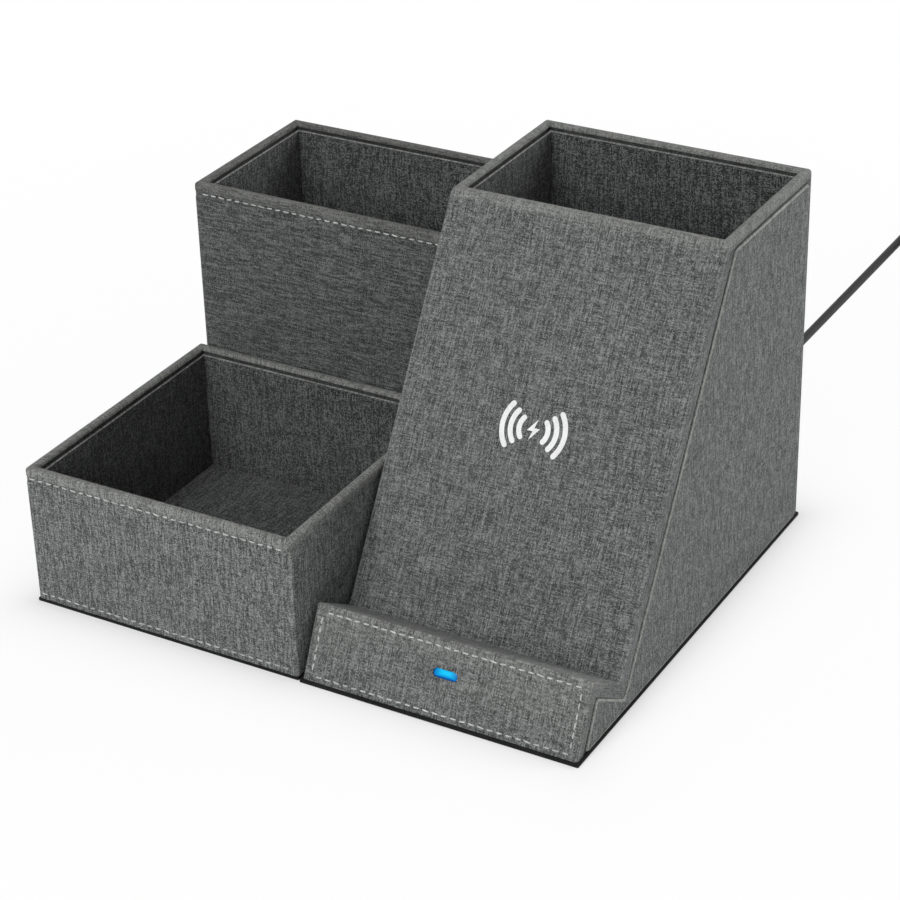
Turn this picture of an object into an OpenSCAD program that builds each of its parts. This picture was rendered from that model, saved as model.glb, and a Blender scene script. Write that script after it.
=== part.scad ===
// Desk organizer with a leaning phone stand that charges without a plug.
// Three boxes of thin board, wrapped in woven fabric, stand side by side: the phone stand with a
// pen cup behind its slope, a low open box and a tall open box. Magnets hold the two boxes to the
// stand. X runs to the right, Y runs to the back, Z runs up. The origin is at the middle of the
// footprint, on the table.

/* [Phone stand] */
// Width of the phone stand
stand_w = 90; // [80:1:110]
// Height of the phone stand
stand_h = 119; // [110:1:130]
// Lean of the slope, in degrees from the table
slope_angle = 58.2; // [55:0.2:64]
// Depth of the phone ledge, measured square to the slope
ledge_depth = 19.3; // [16:0.1:24]
// Height of the foot of the slope above the table
ledge_z = 11.8; // [11:0.1:16]
// How far the top of the front lip leans back from its base
lip_setback = 10.5; // [8:0.5:14]
// Height of the underside of the pen cup's floor
cup_floor_z = 16; // [13:0.5:30]

/* [Low box] */
// Outer width of the low box
low_w = 93.5; // [80:0.5:110]
// Outer depth of the low box
low_d = 92.5; // [75:0.5:110]
// Height of the low box
low_h = 46.6; // [38:0.2:60]

/* [Tall box] */
// Outer width of the tall box
tall_w = 92; // [75:0.5:110]
// Outer depth of the tall box
tall_d = 59; // [50:0.5:80]
// Height of the tall box
tall_h = 102.4; // [85:0.2:120]

/* [Spacing] */
// Gap between the stand and the two boxes
module_gap = 1; // [0.8:0.1:3]
// Gap between the low box and the tall box
row_gap = 0.8; // [0.5:0.1:3]
// How far the low box's front stands behind the stand's front
front_inset = 0.5; // [0:0.1:3]
// How far the tall box's back stands before the stand's back
back_inset = 0.2; // [0:0.1:3]

/* [Board and fabric] */
// Thickness of the wall boards
board_t = 2.2; // [1.8:0.1:3]
// Thickness of the floor boards
floor_t = 2.2; // [1.8:0.1:3]
// Thickness of the slope board
slope_t = 4; // [3.6:0.1:6]
// Thickness of the woven cover
fabric_t = 0.35; // [0.25:0.05:0.55]
// Thickness of the glue under the cover
glue_t = 0.05; // [0.03:0.01:0.1]
// Depth of the padding and cover over a rim
rim_pad = 0.9; // [0.6:0.1:1.5]
// Bevel along both edges of a rim
rim_bevel = 0.9; // [0.4:0.1:1.2]
// How far the cover folds down inside a rim
turn_in = 14; // [8:1:22]
// Thickness of the fabric-wrapped liner cards
liner_t = 1; // [0.6:0.1:1.6]
// How far a liner's top edge lies below the rim
liner_drop = 2; // [1.5:0.5:5]
// Thickness of the black base sheets
base_t = 1.2; // [0.8:0.1:2]
// How far a base sheet stands out past the walls
base_out = 0.2; // [0:0.05:0.2]

/* [Side panels of the stand] */
// Thickness of a side panel
panel_t = 0.8; // [0.7:0.1:1.5]
// Cover left showing above a side panel
panel_top = 3.5; // [2:0.5:8]
// Cover left showing beside the slope
panel_slope = 5.5; // [3:0.5:9]
// Cover left showing under the ledge
panel_ledge = 4.5; // [3:0.5:6]
// Cover left showing behind the lip
panel_lip = 4; // [3:0.5:6]
// Cover left showing at the back
panel_back = 2.5; // [1:0.5:8]

/* [Charger] */
// Distance of the charging spot up the slope from the ledge
coil_up = 62.8; // [56:0.1:70]
// Outer diameter of the charging coil
coil_d = 44; // [38:0.5:46]
// Inner diameter of the charging coil
coil_hole_d = 20; // [12:0.5:26]
// Thickness of the charging coil
coil_t = 1; // [0.6:0.1:1.2]
// Thickness of the ferrite sheet
ferrite_t = 0.8; // [0.4:0.1:1]
// Outer diameter of the coil tray's round cup
tray_d = 52; // [50:0.5:53]
// Wall of the coil tray's round cup
tray_wall = 1.2; // [0.8:0.1:1.4]
// Board left in front of the coil tray's pocket
pocket_skin = 1.2; // [1:0.1:1.5]
// Width of the coil tray's flange
flange_w = 62; // [60:1:68]
// Height of the coil tray's flange
flange_h = 58; // [54:1:62]
// Thickness of the coil tray's flange
flange_t = 1.6; // [1.2:0.1:2.4]
// Height of the posts between flange and circuit board
post_h = 5; // [3:0.5:6]
// Diameter of the posts
post_d = 5; // [4.4:0.1:5.2]
// Distance between posts across the slope
post_pitch_x = 46; // [46:1:48]
// Distance between posts up the slope
post_pitch_y = 38; // [38:1:42]
// Width of the circuit board
pcb_w = 53; // [52:1:58]
// Height of the circuit board
pcb_h = 45; // [44:1:50]
// Thickness of the circuit board
pcb_t = 1.2; // [0.8:0.1:1.6]
// Diameter of the screws
screw_d = 2; // [1.6:0.1:2.4]
// Diameter of the screw heads
screw_head_d = 3.8; // [3.2:0.1:4.2]
// Height of the screw heads
screw_head_h = 1.3; // [1:0.1:1.6]
// Depth of the screws in the slope board
screw_bite = 2.4; // [1.6:0.1:2.8]

/* [Charging light] */
// Width of the light's window in the lip
light_w = 8; // [5:0.5:14]
// Height of the light's window in the lip
light_h = 2.7; // [2:0.1:4]
// Distance of the window up the lip from its base
light_up = 14.4; // [12.5:0.1:16]
// How far the light guide lies below the lip's surface
light_recess = 0.4; // [0.1:0.1:0.8]
// Width of the indicator circuit board
indicator_w = 16; // [15:0.5:24]
// Height of the indicator circuit board
indicator_h = 6; // [4.5:0.5:6.5]

/* [Magnets] */
// Diameter of the magnets in the boxes
magnet_d = 8; // [6:0.5:10]
// Thickness of the magnets
magnet_t = 1.5; // [1:0.1:1.5]
// Thickness of the steel keeper plates in the stand
keeper_t = 1; // [0.6:0.1:1.4]
// Height of the magnets of the low box
low_magnet_z = 25; // [20:1:28]
// Height of the magnets of the tall box
tall_magnet_z = 78; // [50:1:80]
// Distance of the rear magnet from a box's back
magnet_inset = 14; // [12:1:18]
// Distance between a box's two magnets
magnet_pitch = 28; // [20:1:32]

/* [Power cord] */
// Diameter of the power cord
cord_d = 3; // [2.6:0.1:3.2]
// Height of the cord's outlet above the table
cord_z = 8; // [7.5:0.1:9]
// Diameter of the strain relief at the back cover
boot_d = 8; // [7:0.5:9]
// Diameter of the strain relief's flange
boot_flange_d = 10; // [9.5:0.5:11]
// Diameter of the cable hole in the boards
cable_hole_d = 6; // [5:0.5:7]
// Diameter of the cord inside the stand
inner_lead_d = 2.4; // [2:0.1:2.8]
// Diameter of the indicator's lead
indicator_lead_d = 1.6; // [1.2:0.1:2]

/* [Hidden] */
$fn = 48;
hole_clear = 0.2;

skin_t = fabric_t + glue_t;
wall_t = board_t + 2 * skin_t;
board_x = panel_t + glue_t;
stand_side_t = board_x + board_t;
rim_board = rim_pad + glue_t;
wrap_in = panel_t - fabric_t;
wrap_w = stand_w - 2 * wrap_in;
floor_top = base_t + floor_t;

// Directions in the stand's side view, as [y, z]
up_slope = [cos(slope_angle), sin(slope_angle)];
into_slope = [sin(slope_angle), -cos(slope_angle)];
foot = [lip_setback + ledge_depth * into_slope.x, ledge_z];
lip_top = foot - ledge_depth * into_slope;
lip_len = norm(lip_top);
up_lip = lip_top / lip_len;
into_lip = [up_lip.y, -up_lip.x];
lip_angle = atan2(up_lip.y, up_lip.x);
rim_y = foot.x + (stand_h - foot.y) / tan(slope_angle);
stand_d = front_inset + low_d + row_gap + tall_d + back_inset;
cup_d = stand_d - rim_y;

// Places of the three boxes
total_w = low_w + module_gap + stand_w;
stand_x = total_w / 2 - stand_w;
stand_mid = stand_x + stand_w / 2;
front_y = -stand_d / 2;
back_y = stand_d / 2;
low_x = -total_w / 2;
low_y = front_y + front_inset;
tall_x = stand_x - module_gap - tall_w;
tall_y = low_y + low_d + row_gap;

// Cup inside the stand, in the stand's own frame
cup_front_y = rim_y + skin_t;
cup_wall_in = wrap_in + wall_t;
cup_x0 = cup_wall_in + glue_t;
cup_y0 = rim_y + wall_t + glue_t;
cup_y1 = stand_d - wall_t - glue_t;
cup_liner_z = cup_floor_z + floor_t;

// Depths under the slope board's front face
pocket_depth = slope_t - pocket_skin;
pcb_depth = slope_t + flange_t + post_h;
screw_len = pcb_t + post_h + flange_t + screw_bite;
keeper_over = 2;
keeper_d = magnet_d + keeper_over;
light_r = light_h / 2;

// Parts on the charger's circuit board
chip_w = 7;
chip_t = 1;
bridge_w = 5;
cap_size = [3, 3, 1.6];
cap_pitch = 4;
choke_w = 7;
choke_t = 3;
can_d = 5;
can_h = 3.4;
power_socket = [8, 6, 3.4];
lamp_socket = [6, 5, 3];
lamp_socket_x = 12;

// Parts of the charging light behind the lip
indicator_t = 1;
spacer_w = 2;
spacer_h = 1.6;
lamp_w = 3.2;
lamp_h = 1.6;
lamp_t = 1.2;

// Wire ends of the charging coil
coil_wire_d = 0.8;
tail_gap = 1.4;
tail_hole_d = 2;
tail_x = 3;
tail_y = -tray_d / 2 + tray_wall + tail_gap;

// Power cord, from the middle of the stand's back: straight out, down to the table and away
rest_z = cord_d / 2;
cord_route = [
    [0, 14, cord_z], [0, 17, cord_z], [0, 21, cord_z], [0, 28, 7.2], [-0.1, 35, 5.4],
    [-0.2, 42, 3.4], [-0.3, 49, 2], [-0.3, 57, rest_z], [-0.4, 73, rest_z], [-0.4, 91, rest_z],
    [-0.5, 111, rest_z], [-0.5, 131, rest_z], [-0.5, 151, rest_z], [-0.5, 171, rest_z],
    [-0.5, 191, rest_z], [-0.5, 208, rest_z], [-0.5, 226, rest_z]
];
// The cord's free end, from the top of the coil to the plug
tail_route = [
    [22, 248.5, 4.5], [29, 248.4, 4.4], [37, 248.3, 3.6], [45, 248.3, 2.7], [52, 248.4, 3],
    [58, 248.5, 3.8], [62, 248.5, 3.8], [66, 248.5, 3.8]
];
cord_coil_mid = [22, 226];
cord_turns_wide = 4;
cord_turns_high = 2;
cord_coil_r = 18;

// The strain relief reaches to the cord's start
boot_len = cord_route[0].y;
boot_flange_t = 1.2;
boot_tail = 2;

plug_x = 66;
plug_y = 248.5;
plug_neck_len = 8;
plug_grip_len = 24;
plug_grip_w = 14.6;
plug_grip_h = 7.6;
plug_shell_len = 12;
plug_shell_w = 12;
plug_shell_h = 4.5;
plug_shell_t = 0.35;
plug_back_t = 0.6;
tongue_h = 1.8;
tongue_short = 0.5;

// Points of the stand's side view

// The lip's face, moved inward by a distance, at a height
function lip_at_z(inset, z) = [inset / into_lip.x + z * up_lip.x / up_lip.y, z];

// The slope's face, moved inward by a distance, at a height
function slope_at_z(inset, z) = [foot.x + inset / into_slope.x + (z - foot.y) / tan(slope_angle), z];

// The slope's face, moved inward by a distance, at a depth from the front
function slope_at_y(inset, y) = [y, foot.y + (y - foot.x - inset / into_slope.x) * tan(slope_angle)];

// The ledge and the slope, each moved inward
function ledge_slope(ledge_in, slope_in) = foot - ledge_in * up_slope + slope_in * into_slope;

// The lip and the ledge, each moved inward
function lip_ledge(lip_in, ledge_in) =
    let (c = (lip_top - ledge_in * up_slope) * into_lip, k = into_slope * into_lip)
    lip_top - ledge_in * up_slope + (lip_in - c) / k * into_slope;

// Outline of the stand's side between a bottom, a top and a back
function side_outline(lip_in, ledge_in, slope_in, z0, z1, y1) = [
    lip_at_z(lip_in, z0), lip_ledge(lip_in, ledge_in), ledge_slope(ledge_in, slope_in),
    slope_at_z(slope_in, z1), [y1, z1], [y1, z0]
];

// Frames

module at_stand() {
    translate([stand_x, front_y, 0]) children();
}

// A side-view outline made into a board from one x to another
module across(x0, x1) {
    translate([x0, 0, 0]) rotate([90, 0, 90]) linear_extrude(x1 - x0) children();
}

// On the slope board's front face at the charging spot: X across, Y up the slope, Z out of it
module on_slope() {
    spot = foot + coil_up * up_slope + skin_t * into_slope;
    at_stand() translate([stand_w / 2, spot.x, spot.y]) rotate([slope_angle, 0, 0]) children();
}

// On the lip's surface at the light: X across, Y up the lip, Z out of it
module on_lip() {
    at_stand() at_light() children();
}

// The light's place in the stand's own frame
module at_light() {
    spot = light_up * up_lip;
    translate([stand_w / 2, spot.x, spot.y]) rotate([lip_angle, 0, 0]) children();
}

// Shapes used more than once

// A tube swept along points, with rings square to the path
module tube(route, d, side) {
    n = len(route);
    sides = 8;
    function along(i) =
        let (v = route[min(i + 1, n - 1)] - route[max(i - 1, 0)])
        v / norm(v);
    function up_of(i) = let (u = cross(side, along(i))) u / norm(u);
    rings = [
        for (i = [0:n - 1]) let (t = along(i), u = up_of(i), s = cross(t, u))
        for (k = [0:sides - 1]) let (a = 360 * (k + 0.5) / sides)
        route[i] + d / 2 * (cos(a) * s + sin(a) * u)
    ];
    walls = [
        for (i = [0:n - 2]) for (k = [0:sides - 1])
        let (j = (k + 1) % sides)
        [i * sides + k, i * sides + j, (i + 1) * sides + j, (i + 1) * sides + k]
    ];
    start_face = [for (k = [sides - 1:-1:0]) k];
    end_face = [for (k = [0:sides - 1]) (n - 1) * sides + k];
    polyhedron(rings, concat([start_face], walls, [end_face]));
}

// A smooth curve through points, with one more point between each pair
function smooth(route) = let (n = len(route)) [
    for (i = [0:n - 2]) let (
        a = route[max(i - 1, 0)], b = route[i], c = route[i + 1], d = route[min(i + 2, n - 1)]
    ) each [b, (9 * (b + c) - a - d) / 16],
    route[n - 1]
];

// Section of the cover over a rim, as [distance in from the wall's face, height]
module rim_section(h, outer_z) {
    polygon([
        [0, outer_z], [0, h - rim_bevel], [rim_bevel, h], [wall_t - rim_bevel, h],
        [wall_t, h - rim_bevel], [wall_t, h - turn_in], [wall_t - fabric_t, h - turn_in],
        [wall_t - fabric_t, h - rim_pad], [fabric_t, h - rim_pad], [fabric_t, outer_z]
    ]);
}

// The cover on one wall, mitred at both ends, with the wall's outer face on the X axis
module rim_run(run, h, outer_z) {
    intersection() {
        rotate([90, 0, 90]) linear_extrude(run) rim_section(h, outer_z);
        linear_extrude(h + 1) polygon([[0, 0], [run, 0], [run - wall_t, wall_t], [wall_t, wall_t]]);
    }
}

module rim_sides(w, d, h, side_z) {
    translate([w, 0, 0]) rotate([0, 0, 90]) rim_run(d, h, side_z);
    translate([w, d, 0]) rotate([0, 0, 180]) rim_run(w, h, base_t);
    translate([0, d, 0]) rotate([0, 0, 270]) rim_run(d, h, side_z);
}

// Parts of an open box, each in the box's own frame

module box_cover(w, d, h) {
    rim_run(w, h, base_t);
    rim_sides(w, d, h, base_t);
}

module box_front_board(w, h) {
    translate([skin_t, skin_t, base_t])
        cube([w - 2 * skin_t, board_t, h - rim_board - base_t]);
}

module box_side_board(d, h) {
    translate([skin_t, skin_t + board_t, base_t])
        cube([board_t, d - 2 * (skin_t + board_t), h - rim_board - base_t]);
}

module box_floor_board(w, d) {
    inset = skin_t + board_t;
    translate([inset, inset, base_t]) cube([w - 2 * inset, d - 2 * inset, floor_t]);
}

module box_front_liner(w, h) {
    translate([wall_t + glue_t, wall_t + glue_t, floor_top])
        cube([w - 2 * (wall_t + glue_t), liner_t, h - liner_drop - floor_top]);
}

module box_side_liner(d, h) {
    inset = wall_t + glue_t + liner_t;
    translate([wall_t + glue_t, inset, floor_top])
        cube([liner_t, d - 2 * inset, h - liner_drop - floor_top]);
}

module box_floor_liner(w, d) {
    inset = wall_t + glue_t + liner_t;
    translate([inset, inset, floor_top]) cube([w - 2 * inset, d - 2 * inset, liner_t]);
}

module base_sheet(w, d) {
    translate([-base_out, -base_out, 0]) cube([w + 2 * base_out, d + 2 * base_out, base_t]);
}

// The two magnets of a box in its right board, grown by a clearance
module box_magnets(w, d, z, clear) {
    for (k = [0, 1])
        translate([w - skin_t - magnet_t - clear, d - magnet_inset - k * magnet_pitch, z])
            rotate([0, 90, 0])
                cylinder(h = magnet_t + 2 * clear, d = magnet_d + 2 * clear);
}

module at_low() {
    translate([low_x, low_y, 0]) children();
}

module at_tall() {
    translate([tall_x, tall_y, 0]) children();
}

// Boards of the phone stand

// The steel plates that the boxes' magnets hold to, grown by a clearance
module keepers(clear) {
    spots = [
        [low_y - front_y + low_d - magnet_inset, low_magnet_z],
        [tall_y - front_y + tall_d - magnet_inset, tall_magnet_z]
    ];
    for (spot = spots, k = [0, 1])
        translate([board_x - clear, spot.x - k * magnet_pitch, spot.y])
            rotate([0, 90, 0])
                cylinder(h = keeper_t + 2 * clear, d = keeper_d + 2 * clear);
}

module stand_side_profile() {
    polygon(side_outline(skin_t, skin_t, skin_t, base_t, stand_h - rim_board,
        stand_d - skin_t - board_t));
}

module stand_left_board() {
    color("burlywood") at_stand() difference() {
        across(board_x, stand_side_t) stand_side_profile();
        keepers(hole_clear / 2);
    }
}

module stand_right_board() {
    color("burlywood") at_stand()
        across(stand_w - stand_side_t, stand_w - board_x) stand_side_profile();
}

module cable_hole(y0, y1, d) {
    translate([stand_w / 2, y0, cord_z]) rotate([-90, 0, 0]) cylinder(h = y1 - y0, d = d);
}

module stand_back_board() {
    y0 = stand_d - skin_t - board_t;
    color("burlywood") at_stand() difference() {
        translate([board_x, y0, base_t])
            cube([stand_w - 2 * board_x, board_t, stand_h - rim_board - base_t]);
        cable_hole(y0 - 1, y0 + board_t + 1, cable_hole_d + hole_clear);
    }
}

module slope_board() {
    back_in = skin_t + slope_t;
    ledge_in = skin_t + board_t;
    top_z = stand_h - rim_board;
    color("burlywood") difference() {
        at_stand() across(stand_side_t, stand_w - stand_side_t) polygon([
            ledge_slope(ledge_in, skin_t), ledge_slope(ledge_in, back_in),
            slope_at_y(back_in, cup_front_y), [cup_front_y, top_z],
            slope_at_z(skin_t, top_z)
        ]);
        on_slope() {
            translate([0, 0, -slope_t - 1])
                cylinder(h = pocket_depth + 1, d = tray_d + hole_clear);
            at_posts() translate([0, 0, -slope_t - 1])
                cylinder(h = 1 + screw_bite + hole_clear, d = screw_d + hole_clear);
        }
    }
}

module ledge_board() {
    under = skin_t + board_t;
    color("burlywood") at_stand() across(stand_side_t, stand_w - stand_side_t) polygon([
        lip_ledge(under, skin_t), lip_ledge(under, under),
        ledge_slope(under, skin_t), ledge_slope(skin_t, skin_t)
    ]);
}

// The light's window, a slot with round ends
module light_slot(z0, h, grow) {
    translate([0, 0, z0]) linear_extrude(h) {
        square([light_w - light_h, light_h + 2 * grow], center = true);
        for (side = [-1, 1])
            translate([side * (light_w / 2 - light_r), 0]) circle(r = light_r + grow);
    }
}

module lip_board() {
    behind = skin_t + board_t;
    color("burlywood") difference() {
        at_stand() across(stand_side_t, stand_w - stand_side_t) polygon([
            lip_at_z(skin_t, base_t), lip_ledge(skin_t, skin_t),
            lip_ledge(behind, skin_t), lip_at_z(behind, base_t)
        ]);
        on_lip() light_slot(-behind - 1, behind + 2, hole_clear / 2);
    }
}

module stand_base_board() {
    behind = skin_t + board_t;
    color("burlywood") at_stand() across(stand_side_t, stand_w - stand_side_t) polygon([
        lip_at_z(behind, base_t), lip_at_z(behind, floor_top),
        [stand_d - behind, floor_top], [stand_d - behind, base_t]
    ]);
}

module cup_front_board() {
    color("burlywood") at_stand() difference() {
        translate([stand_side_t, cup_front_y, floor_top])
            cube([stand_w - 2 * stand_side_t, board_t, stand_h - rim_board - floor_top]);
        cable_hole(cup_front_y - 1, cup_front_y + board_t + 1, cable_hole_d);
    }
}

module cup_floor_board() {
    y0 = cup_front_y + board_t;
    color("burlywood") at_stand() translate([stand_side_t, y0, cup_floor_z])
        cube([stand_w - 2 * stand_side_t, stand_d - skin_t - board_t - y0, floor_t]);
}

// Liner cards of the pen cup

module cup_front_liner() {
    color("dimgray") at_stand() translate([cup_x0, cup_y0, cup_liner_z])
        cube([stand_w - 2 * cup_x0, liner_t, stand_h - liner_drop - cup_liner_z]);
}

module cup_back_liner() {
    color("dimgray") at_stand() translate([cup_x0, cup_y1 - liner_t, cup_liner_z])
        cube([stand_w - 2 * cup_x0, liner_t, stand_h - liner_drop - cup_liner_z]);
}

module cup_side_liner(x) {
    color("dimgray") at_stand() translate([x, cup_y0 + liner_t, cup_liner_z])
        cube([liner_t, cup_y1 - cup_y0 - 2 * liner_t, stand_h - liner_drop - cup_liner_z]);
}

module cup_left_liner() {
    cup_side_liner(cup_x0);
}

module cup_right_liner() {
    cup_side_liner(stand_w - cup_x0 - liner_t);
}

module cup_floor_liner() {
    x0 = cup_x0 + liner_t;
    y0 = cup_y0 + liner_t;
    color("dimgray") at_stand() translate([x0, y0, cup_liner_z])
        cube([stand_w - 2 * x0, cup_y1 - liner_t - y0, liner_t]);
}

// Fabric of the phone stand

// Outline left free by a side panel
module panel_outline() {
    polygon(side_outline(panel_lip, panel_ledge, panel_slope, base_t, stand_h - panel_top,
        stand_d - panel_back));
}

// The cover's border, folded onto a side
module side_fold() {
    difference() {
        polygon(side_outline(0, 0, 0, base_t, stand_h - rim_bevel, stand_d));
        panel_outline();
    }
}

module stand_cover() {
    rim_back = rim_y + wall_t;
    color("slategray") at_stand() difference() {
        union() {
            // Strip over the lip, the ledge, the slope and the front rim
            across(wrap_in, stand_w - wrap_in) polygon([
                lip_at_z(0, base_t), lip_ledge(0, 0), ledge_slope(0, 0),
                slope_at_z(0, stand_h - rim_bevel), [rim_y + rim_bevel / 2, stand_h],
                [rim_back - rim_bevel, stand_h], [rim_back, stand_h - rim_bevel],
                [rim_back, stand_h - rim_pad], slope_at_z(fabric_t, stand_h - rim_pad),
                ledge_slope(fabric_t, fabric_t), lip_ledge(fabric_t, fabric_t),
                lip_at_z(fabric_t, base_t)
            ]);
            // The strip's end, turned down inside the cup
            across(cup_wall_in - fabric_t, stand_w - cup_wall_in + fabric_t) polygon([
                [rim_back - fabric_t, stand_h - turn_in], [rim_back, stand_h - turn_in],
                [rim_back, stand_h - rim_pad], [rim_back - fabric_t, stand_h - rim_pad]
            ]);
            across(wrap_in, panel_t) side_fold();
            across(stand_w - panel_t, stand_w - wrap_in) side_fold();
            translate([wrap_in, rim_y, 0])
                rim_sides(wrap_w, cup_d, stand_h, stand_h - panel_top);
        }
        cable_hole(stand_d - wall_t, stand_d + 1, cable_hole_d + hole_clear);
        at_light() light_slot(-fabric_t - 1, fabric_t + 2, hole_clear / 2);
    }
}

module left_side_panel() {
    color("gray") at_stand() across(0, panel_t) panel_outline();
}

module right_side_panel() {
    color("gray") at_stand() across(stand_w - panel_t, stand_w) panel_outline();
}

module stand_base_sheet() {
    color("black") at_stand() base_sheet(stand_w, stand_d);
}

// Charger under the slope

module at_posts() {
    for (sx = [-1, 1], sy = [-1, 1])
        translate([sx * post_pitch_x / 2, sy * post_pitch_y / 2, 0]) children();
}

module coil_tray() {
    color("ivory") on_slope() difference() {
        union() {
            translate([0, 0, -slope_t]) cylinder(h = pocket_depth, d = tray_d);
            translate([-flange_w / 2, -flange_h / 2, -slope_t - flange_t])
                cube([flange_w, flange_h, flange_t]);
            at_posts() translate([0, 0, -pcb_depth]) cylinder(h = post_h, d = post_d);
        }
        translate([0, 0, -slope_t - 0.01])
            cylinder(h = pocket_depth + 1, d = tray_d - 2 * tray_wall);
        at_posts() translate([0, 0, -pcb_depth - 1])
            cylinder(h = post_h + flange_t + 2, d = screw_d + hole_clear);
        coil_tails() translate([0, 0, -slope_t - flange_t - 1])
            cylinder(h = flange_t + 2, d = tail_hole_d);
    }
}

// Where the coil's two wire ends pass through the tray
module coil_tails() {
    for (side = [-1, 1]) translate([side * tail_x, tail_y, 0]) children();
}

module ferrite_sheet() {
    color("darkslategray") on_slope() translate([0, 0, -slope_t])
        cylinder(h = ferrite_t, d = coil_d + 1);
}

module charging_coil() {
    r = coil_wire_d / 2;
    z0 = -slope_t + ferrite_t;
    color("peru") on_slope() union() {
        translate([0, 0, z0]) difference() {
            cylinder(h = coil_t, d = coil_d);
            translate([0, 0, -1]) cylinder(h = coil_t + 2, d = coil_hole_d);
        }
        // Wire ends, out past the ferrite and back to the circuit board
        coil_tails() {
            translate([-r, -r, z0]) cube([2 * r, r - tail_y - coil_d / 2 + 2 * r, 2 * r]);
            translate([0, 0, -pcb_depth]) cylinder(h = z0 + 2 * r + pcb_depth, d = 2 * r);
        }
    }
}

module circuit_board() {
    color("darkgreen") on_slope() difference() {
        translate([-pcb_w / 2, -pcb_h / 2, -pcb_depth - pcb_t]) cube([pcb_w, pcb_h, pcb_t]);
        at_posts() translate([0, 0, -pcb_depth - pcb_t - 1])
            cylinder(h = pcb_t + 2, d = screw_d + hole_clear);
    }
}

// A block on the circuit board's rear face, from its corner
module part_block(at, size) {
    translate([at.x, at.y, -pcb_depth - pcb_t - size.z]) cube(size);
}

module board_components() {
    color("dimgray") on_slope() {
        part_block([-chip_w / 2, -chip_w / 2], [chip_w, chip_w, chip_t]);
        part_block([chip_w, 0], [bridge_w, chip_w, chip_t]);
        for (k = [0:3])
            part_block([-post_pitch_x / 2 + post_d + k * cap_pitch, chip_w + 2 * chip_t], cap_size);
        part_block([-choke_w - chip_w, -choke_w - chip_t], [choke_w, choke_w, choke_t]);
        translate([chip_w + can_d, -can_d - 2 * chip_t, -pcb_depth - pcb_t - can_h])
            cylinder(h = can_h, d = can_d);
        // Sockets for the power lead and the indicator's lead
        part_block([-power_socket.x / 2, -pcb_h / 2], power_socket);
        part_block([lamp_socket_x - lamp_socket.x / 2, -pcb_h / 2], lamp_socket);
    }
}

module charger_screws() {
    z = -pcb_depth - pcb_t;
    color("silver") on_slope() at_posts() {
        translate([0, 0, z]) cylinder(h = screw_len, d = screw_d);
        translate([0, 0, z - screw_head_h]) cylinder(h = screw_head_h, d = screw_head_d);
    }
}

module indicator_board() {
    z = -skin_t - board_t - spacer_h;
    color("darkgreen") on_lip() {
        translate([-indicator_w / 2, -indicator_h / 2, z - indicator_t])
            cube([indicator_w, indicator_h, indicator_t]);
        // Lamp on the board, behind the light guide, and spacers against the lip board
        translate([-lamp_w / 2, -lamp_h / 2, z]) cube([lamp_w, lamp_h, lamp_t]);
        for (x = [-indicator_w / 2, indicator_w / 2 - spacer_w])
            translate([x, -indicator_h / 2, z]) cube([spacer_w, indicator_h, spacer_h]);
    }
}

module light_guide() {
    depth = skin_t + board_t;
    color("deepskyblue") on_lip() light_slot(-depth, depth - light_recess, 0);
}

// Leads inside the stand

// A point under the slope, given across it, up it and behind the board's front face
function under_slope(x, up, depth) =
    let (p = foot + (coil_up + up) * up_slope + (skin_t + depth) * into_slope)
    [stand_mid + x, front_y + p.x, p.y];

module indicator_lead() {
    r = indicator_lead_d / 2;
    depth = pcb_depth + pcb_t + lamp_socket.z / 2;
    start = light_up * up_lip + (skin_t + board_t + spacer_h + indicator_t) * into_lip;
    bend = start + 2 * r * into_lip;
    straight_end = start + 4 * r * into_lip;
    x = stand_mid + lamp_w;
    x_end = lamp_socket_x;
    floor_z = floor_top + 3 * r;
    under_foot = front_y + foot.x;
    end_up = -pcb_h / 2;
    rise = under_slope(x_end, end_up - 10 * r, depth);
    route = [
        [x, front_y + start.x, start.y], [x, front_y + bend.x, bend.y],
        [x, front_y + straight_end.x, straight_end.y],
        [x, under_foot - 4 * r, floor_z], [x + r, under_foot + 4 * r, floor_z],
        [x + 4 * r, (under_foot + rise.y) / 2 + 4 * r, (floor_z + rise.z) / 2 - 4 * r], rise,
        under_slope(x_end, end_up - 5 * r, depth), under_slope(x_end, end_up, depth)
    ];
    color("firebrick") tube(smooth(route), indicator_lead_d, [1, 0, 0]);
}

module inner_lead() {
    r = inner_lead_d / 2;
    depth = pcb_depth + pcb_t + power_socket.z / 2;
    end_up = -pcb_h / 2;
    rise = under_slope(0, end_up - 10 * r, depth);
    y_back = back_y - wall_t - boot_tail;
    y_cup = front_y + cup_front_y;
    route = [
        [stand_mid, y_back, cord_z], [stand_mid, (y_back + y_cup) / 2, cord_z],
        [stand_mid, y_cup + board_t, cord_z], [stand_mid, y_cup - 4 * r, cord_z + r / 2],
        [stand_mid, (y_cup + rise.y) / 2, (cord_z + rise.z) / 2 - 4 * r], rise,
        under_slope(0, end_up - 5 * r, depth), under_slope(0, end_up, depth)
    ];
    color("dimgray") tube(smooth(route), inner_lead_d, [1, 0, 0]);
}

module keeper_plates() {
    color("silver") at_stand() keepers(0);
}

// Power cord

module strain_relief() {
    color("black") at_stand() translate([stand_w / 2, stand_d, cord_z]) rotate([-90, 0, 0]) {
        translate([0, 0, -wall_t]) cylinder(h = wall_t, d = cable_hole_d);
        translate([0, 0, -wall_t - boot_tail]) cylinder(h = boot_tail, d = cable_hole_d - 1);
        cylinder(h = boot_flange_t, d = boot_flange_d);
        translate([0, 0, boot_flange_t])
            cylinder(h = boot_len - boot_flange_t, d1 = boot_d, d2 = cord_d + 1);
    }
}

module at_outlet() {
    translate([stand_mid, back_y, 0]) children();
}

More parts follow.
